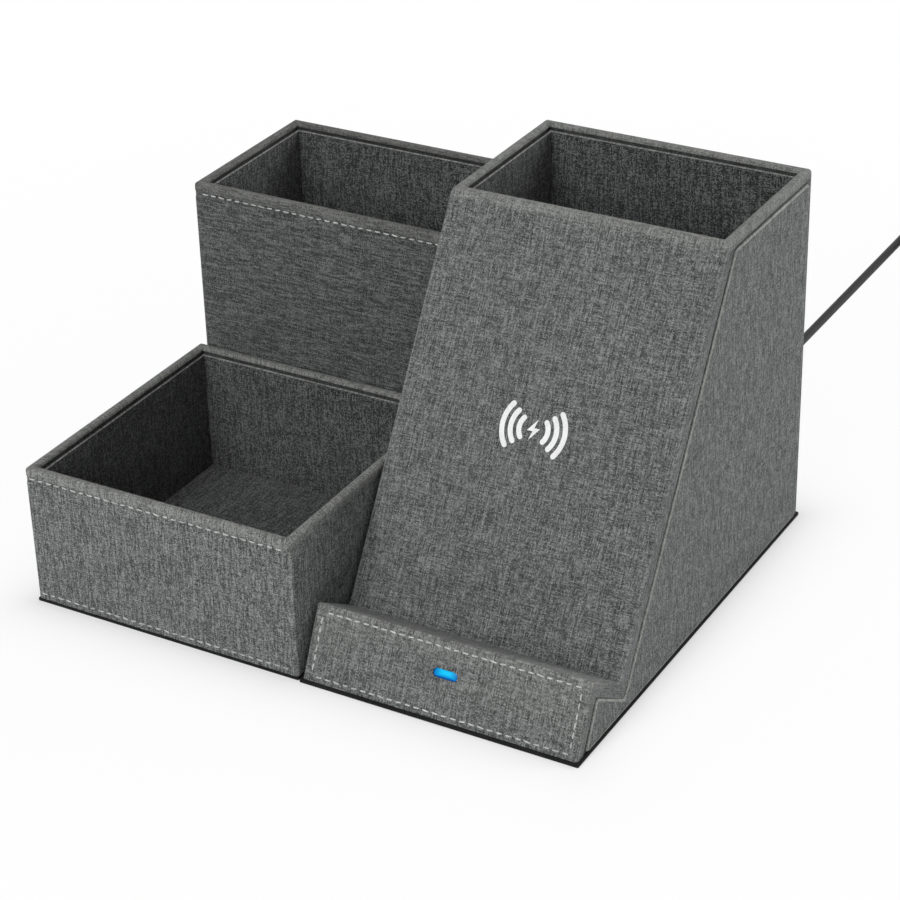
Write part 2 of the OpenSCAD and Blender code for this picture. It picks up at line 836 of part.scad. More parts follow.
module cord() {
    color("black") at_outlet() tube(smooth(cord_route), cord_d, [1, 0, 0]);
    color("black") at_outlet() tube(smooth(tail_route), cord_d, [0, 1, 0]);
}

module cord_coil() {
    half_w = cord_turns_wide * cord_d / 2;
    color("black") at_outlet() translate([cord_coil_mid.x, cord_coil_mid.y, 0]) rotate_extrude()
        translate([cord_coil_r - half_w, 0]) square([2 * half_w, cord_turns_high * cord_d]);
}

module plug_grip() {
    x0 = plug_x + plug_neck_len;
    mid_z = plug_grip_h / 2;
    color("black") at_outlet() {
        translate([x0, plug_y - plug_grip_w / 2, 0]) cube([plug_grip_len, plug_grip_w, plug_grip_h]);
        translate([plug_x, plug_y, mid_z]) rotate([0, 90, 0])
            cylinder(h = plug_neck_len, d1 = cord_d + 1, d2 = plug_grip_h - 1);
    }
}

module plug_shell() {
    x0 = plug_x + plug_neck_len + plug_grip_len;
    inner_w = plug_shell_w - 2 * plug_shell_t;
    inner_h = plug_shell_h - 2 * plug_shell_t;
    color("silver") at_outlet() translate([x0, plug_y, plug_grip_h / 2]) {
        difference() {
            translate([0, -plug_shell_w / 2, -plug_shell_h / 2])
                cube([plug_shell_len, plug_shell_w, plug_shell_h]);
            translate([plug_back_t, -inner_w / 2, -inner_h / 2])
                cube([plug_shell_len, inner_w, inner_h]);
        }
        translate([plug_back_t, -inner_w / 2, -inner_h / 2])
            cube([plug_shell_len - plug_back_t - tongue_short, inner_w, tongue_h]);
    }
}

// Low box

module low_front_board() {
    color("burlywood") at_low() box_front_board(low_w, low_h);
}

module low_back_board() {
    color("burlywood") at_low() translate([0, low_d - wall_t, 0]) box_front_board(low_w, low_h);
}

module low_left_board() {
    color("burlywood") at_low() box_side_board(low_d, low_h);
}

module low_right_board() {
    color("burlywood") at_low() difference() {
        translate([low_w - wall_t, 0, 0]) box_side_board(low_d, low_h);
        box_magnets(low_w, low_d, low_magnet_z, hole_clear / 2);
    }
}

module low_floor_board() {
    color("burlywood") at_low() box_floor_board(low_w, low_d);
}

module low_front_liner() {
    color("dimgray") at_low() box_front_liner(low_w, low_h);
}

module low_back_liner() {
    color("dimgray") at_low() translate([0, low_d - 2 * (wall_t + glue_t) - liner_t, 0])
        box_front_liner(low_w, low_h);
}

module low_left_liner() {
    color("dimgray") at_low() box_side_liner(low_d, low_h);
}

module low_right_liner() {
    color("dimgray") at_low() translate([low_w - 2 * (wall_t + glue_t) - liner_t, 0, 0])
        box_side_liner(low_d, low_h);
}

module low_floor_liner() {
    color("dimgray") at_low() box_floor_liner(low_w, low_d);
}

module low_cover() {
    color("slategray") at_low() box_cover(low_w, low_d, low_h);
}

module low_base_sheet() {
    color("black") at_low() base_sheet(low_w, low_d);
}

module low_magnets() {
    color("silver") at_low() box_magnets(low_w, low_d, low_magnet_z, 0);
}

// Tall box

module tall_front_board() {
    color("burlywood") at_tall() box_front_board(tall_w, tall_h);
}

module tall_back_board() {
    color("burlywood") at_tall() translate([0, tall_d - wall_t, 0]) box_front_board(tall_w, tall_h);
}

module tall_left_board() {
    color("burlywood") at_tall() box_side_board(tall_d, tall_h);
}

module tall_right_board() {
    color("burlywood") at_tall() difference() {
        translate([tall_w - wall_t, 0, 0]) box_side_board(tall_d, tall_h);
        box_magnets(tall_w, tall_d, tall_magnet_z, hole_clear / 2);
    }
}

module tall_floor_board() {
    color("burlywood") at_tall() box_floor_board(tall_w, tall_d);
}

module tall_front_liner() {
    color("dimgray") at_tall() box_front_liner(tall_w, tall_h);
}

module tall_back_liner() {
    color("dimgray") at_tall() translate([0, tall_d - 2 * (wall_t + glue_t) - liner_t, 0])
        box_front_liner(tall_w, tall_h);
}

module tall_left_liner() {
    color("dimgray") at_tall() box_side_liner(tall_d, tall_h);
}

module tall_right_liner() {
    color("dimgray") at_tall() translate([tall_w - 2 * (wall_t + glue_t) - liner_t, 0, 0])
        box_side_liner(tall_d, tall_h);
}

module tall_floor_liner() {
    color("dimgray") at_tall() box_floor_liner(tall_w, tall_d);
}

module tall_cover() {
    color("slategray") at_tall() box_cover(tall_w, tall_d, tall_h);
}

module tall_base_sheet() {
    color("black") at_tall() base_sheet(tall_w, tall_d);
}

module tall_magnets() {
    color("silver") at_tall() box_magnets(tall_w, tall_d, tall_magnet_z, 0);
}

stand_left_board();
stand_right_board();
stand_back_board();
slope_board();
ledge_board();
lip_board();
stand_base_board();
cup_front_board();
cup_floor_board();
cup_front_liner();
cup_back_liner();
cup_left_liner();
cup_right_liner();
cup_floor_liner();
stand_cover();
left_side_panel();
right_side_panel();
stand_base_sheet();
coil_tray();
ferrite_sheet();
charging_coil();
circuit_board();
board_components();
charger_screws();
indicator_board();
light_guide();
indicator_lead();
inner_lead();
keeper_plates();
strain_relief();
cord();
cord_coil();
plug_grip();
plug_shell();
low_front_board();
low_back_board();
low_left_board();
low_right_board();
low_floor_board();
low_front_liner();
low_back_liner();
low_left_liner();
low_right_liner();
low_floor_liner();
low_cover();
low_base_sheet();
low_magnets();
tall_front_board();
tall_back_board();
tall_left_board();
tall_right_board();
tall_floor_board();
tall_front_liner();
tall_back_liner();
tall_left_liner();
tall_right_liner();
tall_floor_liner();
tall_cover();
tall_base_sheet();
tall_magnets();
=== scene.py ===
import math
import bmesh
import bpy
from mathutils import Matrix, Vector


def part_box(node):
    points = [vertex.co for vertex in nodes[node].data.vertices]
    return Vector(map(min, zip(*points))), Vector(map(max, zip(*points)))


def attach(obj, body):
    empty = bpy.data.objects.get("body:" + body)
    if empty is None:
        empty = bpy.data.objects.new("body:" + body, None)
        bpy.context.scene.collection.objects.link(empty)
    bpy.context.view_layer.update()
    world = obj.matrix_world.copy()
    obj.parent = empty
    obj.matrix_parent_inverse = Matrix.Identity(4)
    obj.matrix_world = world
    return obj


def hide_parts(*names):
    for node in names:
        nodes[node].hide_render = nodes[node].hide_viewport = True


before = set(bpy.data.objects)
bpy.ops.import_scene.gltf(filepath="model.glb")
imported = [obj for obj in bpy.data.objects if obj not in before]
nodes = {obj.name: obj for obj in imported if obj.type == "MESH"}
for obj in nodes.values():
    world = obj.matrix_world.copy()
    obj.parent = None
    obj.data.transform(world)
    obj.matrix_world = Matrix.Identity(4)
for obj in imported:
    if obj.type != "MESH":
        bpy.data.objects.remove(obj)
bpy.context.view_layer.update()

mm = 0.001
tools = bpy.context.scene.collection

# Sizes of the object, in mm, as the CAD source has them
box = {
    "standWidth": 90, "standHeight": 119, "standX": 2.25, "frontY": -76.5, "standDepth": 153,
    "slopeAngle": 58.2, "ledgeDepth": 19.3, "ledgeZ": 11.8, "lipSetback": 10.5,
    "wall": 3.0, "fabric": 0.35, "turnIn": 14, "baseSheet": 1.2, "panel": 0.8,
    "panelTop": 3.5, "panelSlope": 5.5, "panelLedge": 4.5, "panelLip": 4, "panelBack": 2.5,
    "coilUp": 62.8, "lightUp": 14.4,
}
outlet = Vector((47.25, 76.5, 0))  # middle of the stand's back, on the table


def flat2(x, y):
    return Vector((x, y))


slope = math.radians(box["slopeAngle"])
upSlope = flat2(math.cos(slope), math.sin(slope))  # side view, as (y, z)
intoSlope = flat2(math.sin(slope), -math.cos(slope))
foot = flat2(box["lipSetback"] + box["ledgeDepth"] * intoSlope.x, box["ledgeZ"])
lipTop = foot - box["ledgeDepth"] * intoSlope
upLip = lipTop.normalized()
intoLip = flat2(upLip.y, -upLip.x)
wrapIn = box["panel"] - box["fabric"]


def crossZ(a, b):
    return a.x * b.y - a.y * b.x


def lipAt(inset, z):
    return flat2(inset / intoLip.x + z * upLip.x / upLip.y, z)


def slopeAt(inset, z):
    return flat2(foot.x + inset / intoSlope.x + (z - foot.y) / math.tan(slope), z)


def ledgeSlope(ledgeIn, slopeIn):
    return foot - ledgeIn * upSlope + slopeIn * intoSlope


def lipLedge(lipIn, ledgeIn):
    along = (lipTop - ledgeIn * upSlope).dot(intoLip)
    return lipTop - ledgeIn * upSlope + (lipIn - along) / intoSlope.dot(intoLip) * intoSlope


rimY = slopeAt(0, box["standHeight"]).x


def toFrame(x, side):
    # A point of the stand, from its x and its (y, z) in the side view, in metres
    return Vector((box["standX"] + x, box["frontY"] + side.x, side.y)) * mm


print("camera")
camera = {"lens": 104.416, "place": (0.358, -0.59385, 0.42529), "turn": (2.03220863, 0.52167237, -0.33929301)}


def makeCamera():
    data = bpy.data.cameras.new("photoCamera")
    data.sensor_width = 36
    data.lens = camera["lens"]
    data.clip_start, data.clip_end = 0.05, 20
    item = bpy.data.objects.new("photoCamera", data)
    tools.objects.link(item)
    axis = Vector(camera["turn"])
    look = Matrix.Rotation(axis.length, 3, axis.normalized())  # rows: right, down, forward
    turn = Matrix((look[0], -look[1], -look[2])).transposed()
    item.matrix_world = Matrix.Translation(camera["place"]) @ turn.to_4x4()
    bpy.context.scene.camera = item


makeCamera()


# Small helpers for meshes

def addPiece(name, points, faces, body, finish, uv=None, smooth=40, worn=None):
    mesh = bpy.data.meshes.new(name)
    mesh.from_pydata([tuple(p) for p in points], [], faces)
    if worn:  # painted edge light of each point: above 0 a painted highlight, up to 1; below 0 painted shade in a groove
        mesh.attributes.new("worn", "FLOAT", "POINT").data.foreach_set("value", worn)
    if uv:
        layer = mesh.uv_layers.new(name="weave")
        layer.uv.foreach_set("vector", [c for corner in uv for c in corner])
    mesh.update()
    item = bpy.data.objects.new(name, mesh)
    tools.objects.link(item)
    item.data.materials.append(finish)
    tidyMesh(item, smooth)
    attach(item, body)
    return item


def tidyMesh(item, smooth):
    work = bmesh.new()
    work.from_mesh(item.data)
    bmesh.ops.remove_doubles(work, verts=work.verts, dist=1e-6)
    bmesh.ops.dissolve_degenerate(work, edges=work.edges, dist=1e-7)
    bmesh.ops.recalc_face_normals(work, faces=work.faces)
    for face in work.faces:
        face.smooth = True
    for edge in work.edges:
        edge.smooth = len(edge.link_faces) == 2 and edge.calc_face_angle(0) < math.radians(smooth)
    work.to_mesh(item.data)
    work.free()


def skinRings(rings, spans, closed, start=0):
    # Faces and woven coordinates between rings of points; spans are the distances round each ring
    faces, uv = [], []
    count = len(rings[0])
    rise = [0.0]
    for a, b in zip(rings, rings[1:]):
        rise.append(rise[-1] + sum((p - q).length for p, q in zip(a, b)) / count)
    for i in range(len(rings) - 1):
        for k in range(count if closed else count - 1):
            j = (k + 1) % count
            faces.append((start + i * count + k, start + i * count + j,
                          start + (i + 1) * count + j, start + (i + 1) * count + k))
            uv += [(spans[k], rise[i]), (spans[k + 1], rise[i]), (spans[k + 1], rise[i + 1]), (spans[k], rise[i + 1])]
    return faces, uv


def spansOf(ring, closed):
    spans = [0.0]
    for a, b in zip(ring, ring[1:] + (ring[:1] if closed else [])):
        spans.append(spans[-1] + (a - b).length)
    return spans


def makeLoft(name, rings, finish, closed=False):
    # A skin over closed rings of points (mm, in the frame); it either runs back into itself or ends in two caps
    count = len(rings[0])
    if closed:
        rings = rings + rings[:1]
    faces = skinRings(rings, [0.0] * (count + 1), True)[0]
    if not closed:
        faces += [tuple(range(count))[::-1], tuple(range((len(rings) - 1) * count, len(rings) * count))]
    return addPiece(name, [p * mm for ring in rings for p in ring], faces, "stand", finish)


def roundRing(middle, sideways, upward, wide, high, power=2.0, count=24):
    # An oval ring, squarer for a higher power
    made = []
    for k in range(count):
        c, s = math.cos(2 * math.pi * (k + 0.5) / count), math.sin(2 * math.pi * (k + 0.5) / count)
        made.append(Vector(middle) + Vector(sideways) * math.copysign(abs(c) ** (2 / power), c) * wide
                    + Vector(upward) * math.copysign(abs(s) ** (2 / power), s) * high)
    return made


def arc(steps):
    # Angles of a quarter turn
    return [math.pi / 2 * i / steps for i in range(steps + 1)]


# Node helpers

def calc(tree, kind, *values):
    node = tree.nodes.new("ShaderNodeMath")
    node.operation = kind
    for socket, value in zip(node.inputs, values):
        plug(tree, value, socket)
    return node.outputs[0]


def plug(tree, value, socket):
    if isinstance(value, bpy.types.NodeSocket):
        tree.links.new(value, socket)
    else:
        socket.default_value = value


def blendOf(tree, amount, a, b, colour=False):
    node = tree.nodes.new("ShaderNodeMix")
    node.data_type = "RGBA" if colour else "FLOAT"
    use = [s for s in node.inputs if s.enabled and not s.is_unavailable]
    for socket, value in zip(use, (amount, a, b)):
        plug(tree, value, socket)
    return [s for s in node.outputs if s.enabled and not s.is_unavailable][0]


def mathOf(tree, kind, a, b=None):
    node = tree.nodes.new("ShaderNodeVectorMath")
    node.operation = kind
    plug(tree, a, node.inputs[0])
    if b is not None:
        plug(tree, b, node.inputs[1])
    return node.outputs["Value" if kind == "LENGTH" else "Vector"]


def vectorOf(tree, x, y, z=0.0):
    node = tree.nodes.new("ShaderNodeCombineXYZ")
    for socket, value in zip(node.inputs, (x, y, z)):
        plug(tree, value, socket)
    return node.outputs[0]


def noiseOf(tree, vector, scale=1.0, detail=2.0, rough=0.5):
    node = tree.nodes.new("ShaderNodeTexNoise")
    plug(tree, vector, node.inputs["Vector"])
    plug(tree, scale, node.inputs["Scale"])
    node.inputs["Detail"].default_value = detail
    node.inputs["Roughness"].default_value = rough
    return node.outputs[0]


def stretch(tree, value, low, high, outLow=0.0, outHigh=1.0):
    node = tree.nodes.new("ShaderNodeMapRange")
    plug(tree, value, node.inputs[0])
    for socket, number in zip(node.inputs[1:5], (low, high, outLow, outHigh)):
        socket.default_value = number
    return node.outputs[0]


def makeGroup(name, inputs, outputs):
    tree = bpy.data.node_groups.new(name, "ShaderNodeTree")
    for title, kind, value in inputs:
        socket = tree.interface.new_socket(title, in_out="INPUT", socket_type="NodeSocket" + kind)
        if value is not None:
            socket.default_value = value
    for title, kind in outputs:
        tree.interface.new_socket(title, in_out="OUTPUT", socket_type="NodeSocket" + kind)
    return tree, tree.nodes.new("NodeGroupInput").outputs, tree.nodes.new("NodeGroupOutput").inputs


def useGroup(tree, group, **values):
    node = tree.nodes.new("ShaderNodeGroup")
    node.node_tree = group
    for title, value in values.items():
        plug(tree, value, node.inputs[title])
    return node.outputs


def startMaterial(name, roughness=0.6, **settings):
    finish = bpy.data.materials.new(name)
    finish.use_nodes = True
    tree = finish.node_tree
    shader = tree.nodes["Principled BSDF"]
    shader.inputs["Roughness"].default_value = roughness
    for title, value in settings.items():
        shader.inputs[title.replace("_", " ")].default_value = value
    return finish, tree, shader


def bumpInto(tree, shader, height, distance, strength=1.0):
    node = tree.nodes.new("ShaderNodeBump")
    node.inputs["Distance"].default_value = distance
    node.inputs["Strength"].default_value = strength
    tree.links.new(height, node.inputs["Height"])
    tree.links.new(node.outputs[0], shader.inputs["Normal"])


def placeOf(tree):
    return tree.nodes.new("ShaderNodeTexCoord").outputs["Object"]


print("materials")


def makeWeaveGroup():
    # A plain weave of uneven threads: each warp and weft thread has its own tone, with slubs along it
    tree, given, out = makeGroup("linenWeave", [
        ("Coordinates", "Vector", None), ("Pitch", "Float", 0.00045), ("Slub Length", "Float", 0.012),
        ("Warp Contrast", "Float", 1.0), ("Weft Contrast", "Float", 1.0), ("Speckle", "Float", 0.5)], [("Tone", "Float"), ("Height", "Float")])
    apart = tree.nodes.new("ShaderNodeSeparateXYZ")
    tree.links.new(given["Coordinates"], apart.inputs[0])
    across, along = apart.outputs[0], apart.outputs[1]
    sway = calc(tree, "MULTIPLY", calc(tree, "SUBTRACT", noiseOf(tree, given["Coordinates"], 90), 0.5), 0.0006)
    across = calc(tree, "ADD", across, sway)
    along = calc(tree, "ADD", along, sway)
    warp, weft = calc(tree, "DIVIDE", across, given["Pitch"]), calc(tree, "DIVIDE", along, given["Pitch"])
    warpNumber, weftNumber = calc(tree, "FLOOR", warp), calc(tree, "FLOOR", weft)
    warpWay = calc(tree, "MULTIPLY_ADD", warpNumber, 0.618, calc(tree, "DIVIDE", along, given["Slub Length"]))
    weftWay = calc(tree, "MULTIPLY_ADD", weftNumber, 0.618, calc(tree, "DIVIDE", across, given["Slub Length"]))
    warpTone = noiseOf(tree, vectorOf(tree, calc(tree, "MULTIPLY", warpNumber, 3.71), warpWay, 11.3), 1, 2, 0.6)
    weftTone = noiseOf(tree, vectorOf(tree, weftWay, calc(tree, "MULTIPLY", weftNumber, 3.71), 47.9), 1, 2, 0.6)
    warpTone = calc(tree, "MULTIPLY", calc(tree, "SUBTRACT", warpTone, 0.5), given["Warp Contrast"])
    weftTone = calc(tree, "MULTIPLY", calc(tree, "SUBTRACT", weftTone, 0.5), given["Weft Contrast"])
    over = calc(tree, "PINGPONG", calc(tree, "ADD", warpNumber, weftNumber), 1.0)
    warpRound = calc(tree, "SINE", calc(tree, "MULTIPLY", calc(tree, "FRACT", warp), math.pi))
    weftRound = calc(tree, "SINE", calc(tree, "MULTIPLY", calc(tree, "FRACT", weft), math.pi))
    warpHigh = calc(tree, "MULTIPLY", warpRound, calc(tree, "MULTIPLY_ADD", weftRound, 0.45, 0.55))
    weftHigh = calc(tree, "MULTIPLY", weftRound, calc(tree, "MULTIPLY_ADD", warpRound, 0.45, 0.55))
    high = blendOf(tree, over, warpHigh, weftHigh)
    tone = blendOf(tree, over, warpTone, weftTone)
    both = calc(tree, "MULTIPLY", calc(tree, "ADD", warpTone, weftTone), 0.35)
    fluff = calc(tree, "MULTIPLY", calc(tree, "SUBTRACT", noiseOf(tree, given["Coordinates"], 5200, 2), 0.5), 0.35)
    speck = tree.nodes.new("ShaderNodeTexWhiteNoise")
    tree.links.new(vectorOf(tree, warpNumber, weftNumber, 5.3), speck.inputs["Vector"])
    fluff = calc(tree, "ADD", fluff, calc(tree, "MULTIPLY", calc(tree, "SUBTRACT", speck.outputs[0], 0.5), given["Speckle"]))
    patch = calc(tree, "MULTIPLY", calc(tree, "SUBTRACT", noiseOf(tree, given["Coordinates"], 220, 2), 0.5), 0.05)
    tone = calc(tree, "ADD", calc(tree, "ADD", tone, both), calc(tree, "ADD", fluff, patch))
    # Painted shade: darker where the threads sink, lighter on their crowns
    tone = calc(tree, "ADD", tone, calc(tree, "MULTIPLY", calc(tree, "SUBTRACT", high, 0.55), 0.35))
    tree.links.new(calc(tree, "ADD", tone, 0.5), out["Tone"])
    tree.links.new(calc(tree, "ADD", high, calc(tree, "MULTIPLY", fluff, 0.5)), out["Height"])
    return tree


weaveGroup = makeWeaveGroup()
# Thread colours; the third colour is a painted highlight for rounded edges, and the number after it is how strongly
# that highlight is painted
fabricLook = {
    "pitch": 0.00037, "slubLength": 0.0060, "warpContrast": 1.3, "weftContrast": 1.05, "speckle": 0.5, "rarity": 1.5,
    "dark": (0.024, 0.0258, 0.0252), "light": (0.322, 0.336, 0.330), "worn": (0.355, 0.362, 0.337), "wear": 0.16, "bump": 0.00014,
}


def makeFabric(name, tone=1.0, turned=False, **changes):
    look = dict(fabricLook, **changes)
    finish, tree, shader = startMaterial(name, 0.92, Specular_IOR_Level=0.18, Sheen_Weight=0.12, Sheen_Roughness=0.6)
    where = tree.nodes.new("ShaderNodeUVMap")
    where.uv_map = "weave"
    place = where.outputs[0]
    if turned:  # the warp runs across
        apart = tree.nodes.new("ShaderNodeSeparateXYZ")
        tree.links.new(place, apart.inputs[0])
        place = vectorOf(tree, apart.outputs[1], apart.outputs[0])
    threads = useGroup(tree, weaveGroup, Coordinates=place, Pitch=look["pitch"], **{
        "Slub Length": look["slubLength"], "Warp Contrast": look["warpContrast"],
        "Weft Contrast": look["weftContrast"], "Speckle": look["speckle"]})
    dark, light = [(c[0] * tone, c[1] * tone, c[2] * tone, 1) for c in (look["dark"], look["light"])]
    bright = calc(tree, "POWER", calc(tree, "MAXIMUM", calc(tree, "MINIMUM", threads["Tone"], 1.0), 0.0), look["rarity"])
    shade = blendOf(tree, bright, dark, light, True)
    # Painted light from the mesh's point attribute: above 0 it blends in the highlight colour as a painted highlight on
    # edges, below 0 it blends towards near black as painted shade in grooves
    edgeLightNode = tree.nodes.new("ShaderNodeAttribute")
    edgeLightNode.attribute_name = "worn"
    edge = calc(tree, "MULTIPLY", calc(tree, "MAXIMUM", edgeLightNode.outputs["Fac"], 0.0), calc(tree, "MULTIPLY_ADD", bright, 0.5, look["wear"]))
    shade = blendOf(tree, edge, shade, (*[c * tone for c in look["worn"]], 1), True)
    sunk = calc(tree, "MAXIMUM", calc(tree, "MULTIPLY", edgeLightNode.outputs["Fac"], -1.0), 0.0)
    tree.links.new(blendOf(tree, sunk, shade, (0.006, 0.006, 0.006, 1), True), shader.inputs["Base Color"])
    bumpInto(tree, shader, threads["Height"], look["bump"], 0.7)
    return finish


standFabric = makeFabric("standFabric")
# Its highlight colour and strength paint a light line along the panels' rounded edges
panelFabric = makeFabric("panelFabric", 0.97, slubLength=0.0045, warpContrast=1.75, weftContrast=0.8, speckle=0.6, worn=(0.46, 0.47, 0.44), wear=0.45)
lowFabric = makeFabric("lowBoxFabric", warpContrast=1.75, weftContrast=0.75, speckle=0.65)
# Tone 0.6 is painted shade: the tall box's fabric is drawn darker than the low box's
tallFabric = makeFabric("tallBoxFabric", 0.6, True, warpContrast=2.2, weftContrast=0.6, speckle=0.65)
# Tone 0.56 is partly a darker liner fabric and partly painted shade inside the boxes and cup; its highlight paints
# light lines on the liners' top edges
linerFabric = makeFabric("linerFabric", 0.56, warpContrast=2.2, speckle=1.0, rarity=1.8, worn=(0.66, 0.67, 0.64), wear=0.42)


def makeGrainGroup():
    # Fine and broad mottling of moulded, ground and plated surfaces
    tree, given, out = makeGroup("surfaceGrain", [
        ("Coordinates", "Vector", None), ("Scale", "Float", 900.0), ("Dark", "Color", (0.1, 0.1, 0.1, 1)),
        ("Light", "Color", (0.2, 0.2, 0.2, 1)), ("Roughness", "Float", 0.6), ("Spread", "Float", 0.1)],
        [("Colour", "Color"), ("Roughness", "Float"), ("Height", "Float")])
    fine = noiseOf(tree, given["Coordinates"], given["Scale"], 3, 0.6)
    broad = noiseOf(tree, given["Coordinates"], calc(tree, "MULTIPLY", given["Scale"], 0.11), 2)
    both = stretch(tree, blendOf(tree, 0.4, fine, broad), 0.35, 0.65)
    tree.links.new(blendOf(tree, both, given["Dark"], given["Light"], True), out["Colour"])
    swing = calc(tree, "MULTIPLY", calc(tree, "SUBTRACT", broad, 0.5), given["Spread"])
    tree.links.new(calc(tree, "ADD", given["Roughness"], swing), out["Roughness"])
    tree.links.new(fine, out["Height"])
    return tree


grainGroup = makeGrainGroup()


def makeGrainy(name, dark, light, scale, rough, spread, bump, drawn=(1, 1, 1), **settings):
    # drawn stretches the grain into lines, as on drawn or brushed metal
    finish, tree, shader = startMaterial(name, rough, **settings)
    place = placeOf(tree)
    if drawn != (1, 1, 1):
        place = mathOf(tree, "MULTIPLY", place, drawn)
    grain = useGroup(tree, grainGroup, Coordinates=place, Scale=scale, Dark=(*dark, 1), Light=(*light, 1),
                     Roughness=rough, Spread=spread)
    tree.links.new(grain["Colour"], shader.inputs["Base Color"])
    tree.links.new(grain["Roughness"], shader.inputs["Roughness"])
    bumpInto(tree, shader, grain["Height"], bump, 0.6)
    return finish


def grey(level):
    return (level, level, level)


cordFinish = makeGrainy("cordJacket", grey(0.006), grey(0.016), 900, 0.5, 0.2, 0.00004, Specular_IOR_Level=0.25)
gripFinish = makeGrainy("mouldedGrip", grey(0.012), grey(0.030), 1600, 0.55, 0.15, 0.00005)
plateFinish = makeGrainy("platedShell", grey(0.50), grey(0.72), 600, 0.25, 0.3, 0.00002, (0.08, 1, 1), Metallic=1.0)
goldFinish = makeGrainy("goldContact", (0.62, 0.42, 0.16), (0.85, 0.62, 0.26), 900, 0.3, 0.2, 0.00001, Metallic=1.0)
tongueFinish = makeGrainy("tonguePlastic", grey(0.55), grey(0.66), 1500, 0.5, 0.1, 0.00002)
strapFinish = makeGrainy("strapLoops", grey(0.012), grey(0.045), 2600, 0.9, 0.1, 0.00018)


print("power cord")
cordLook = {
    "diameter": 3.0, "coilTurns": (22.5, 19.5, 16.5, 13.5), "coilMiddle": (22, 226),
    "stretch": ((0, 14, 8), (0, 17, 8), (0, 21, 8), (0, 28, 7.2), (-0.1, 35, 5.4), (-0.2, 42, 3.4), (-0.3, 49, 2),
                (-0.3, 57, 1.5), (-0.4, 73, 1.5), (-0.4, 91, 1.5), (-0.5, 111, 1.5), (-0.5, 131, 1.5),
                (-0.5, 151, 1.5), (-0.5, 171, 1.5), (-0.5, 191, 1.5), (-0.5, 208, 1.5), (-0.5, 226, 1.5)),
    "freeEnd": ((22, 248.5, 4.5), (29, 248.4, 4.4), (37, 248.3, 3.6), (45, 248.3, 2.7), (52, 248.4, 3),
                (58, 248.5, 3.8), (62, 248.5, 3.8), (66, 248.5, 3.8)),
}


def smoothRoute(route, parts):
    points = [Vector(p) for p in route]
    made = []
    for i in range(len(points) - 1):
        a, b = points[max(i - 1, 0)], points[i]
        c, d = points[i + 1], points[min(i + 2, len(points) - 1)]
        for k in range(parts):
            t = k / parts
            made.append(0.5 * (2 * b + (c - a) * t + (2 * a - 5 * b + 4 * c - d) * t ** 2
                               + (3 * b - a - 3 * c + d) * t ** 3))
    return made + [points[-1]]


def coilRoute(step=6):
    # Four turns inward on the table, a climb, and four turns outward on top of them
    turns, low, high = cordLook["coilTurns"], cordLook["diameter"] / 2, cordLook["diameter"] * 1.5
    middle = cordLook["coilMiddle"]

    def ease(t):
        t = min(max(t, 0.0), 1.0)
        return t * t * (3 - 2 * t)

    made = []
    for degree in range(step, 7 * 360 + 90, step):
        turn, rest = divmod(degree, 360)
        if turn < 4:
            outer, inner = turns[turn], turns[min(turn + 1, 3)]
            r = outer + (inner - outer) * ease((rest - 270) / 90)
        else:
            r = turns[max(7 - turn, 0)]
            if turn > 4 or rest > 90:
                first, second = (turns[7 - turn], turns[max(6 - turn, 0)])
                r = first + (second - first) * ease((rest - 90) / 90)
        z = low + (high - low) * (1 if turn > 3 else ease((rest - 180) / 90) if turn == 3 else 0)
        angle = math.radians(180 - degree)
        made.append(Vector((middle[0] + r * math.cos(angle), middle[1] + r * math.sin(angle), z)))
    return made


def routeLength(points):
    return sum((a - b).length for a, b in zip(points, points[1:]))


def makeCord():
    start = smoothRoute(cordLook["stretch"], 3)
    coil = coilRoute()
    end = smoothRoute(cordLook["freeEnd"], 3)
    points = [(outlet + p) * mm for p in start + coil + end]
    data = bpy.data.curves.new("powerCord", "CURVE")
    data.dimensions = "3D"
    data.bevel_depth = cordLook["diameter"] / 2 * mm
    data.bevel_resolution = 4
    data.use_fill_caps = True
    line = data.splines.new("POLY")
    line.points.add(len(points) - 1)
    line.points.foreach_set("co", [c for p in points for c in (*p, 1)])
    line.use_smooth = True
    item = bpy.data.objects.new("powerCord", data)
    tools.objects.link(item)
    data.materials.append(cordFinish)
    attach(item, "stand")
    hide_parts("cord", "cord_coil")
    print("cord length", round(routeLength(points), 4))
    return item, points


plugLook = {
    "height": 3.8, "line": 248.5, "ribs": 4, "grooves": 3,
    "grip": ((74, 3.3, 3.3, 2.2), (74.6, 5.0, 3.5, 3), (75.6, 6.4, 3.7, 4.5), (77, 7.2, 3.8, 6), (80.5, 7.3, 3.8, 7)),
    "front": ((93, 7.3, 3.8, 8), (97, 7.3, 3.8, 8), (97.7, 7.1, 3.6, 8), (98, 6.7, 3.2, 8)),
    "shell": ((98, 6, 2.25), (109.7, 6, 2.25), (110, 5.9, 2.15), (110, 5.65, 1.9), (98.6, 5.65, 1.9)),
}
reliefLook = {"height": 8, "ribs": 5, "rib": 2.3, "groove": 0.55}
strapLook = {"middle": (40, 226, 3.3), "wide": 6.55, "high": 3.05, "width": 6, "thickness": 0.5, "turns": 1.13}


def cutPrisms(item, prisms):
    # Holes through a piece: each prism is two equal outlines, in metres; the cutter is thrown away
    work = bmesh.new()
    for low, high in prisms:
        a, b = [work.verts.new(p) for p in low], [work.verts.new(p) for p in high]
        work.faces.new(a)
        work.faces.new(b[::-1])
        for k in range(len(a)):
            work.faces.new((a[k - 1], a[k], b[k], b[k - 1]))
    bmesh.ops.recalc_face_normals(work, faces=work.faces)
    mesh = bpy.data.meshes.new("cutter")
    work.to_mesh(mesh)
    work.free()
    cutter = bpy.data.objects.new("cutter", mesh)
    tools.objects.link(cutter)
    cut = item.modifiers.new("cut", "BOOLEAN")
    cut.object, cut.solver = cutter, "EXACT"
    bpy.context.view_layer.update()
    cutMesh = bpy.data.meshes.new_from_object(item.evaluated_get(bpy.context.evaluated_depsgraph_get()))
    item.modifiers.clear()
    item.data = cutMesh
    bpy.data.objects.remove(cutter)


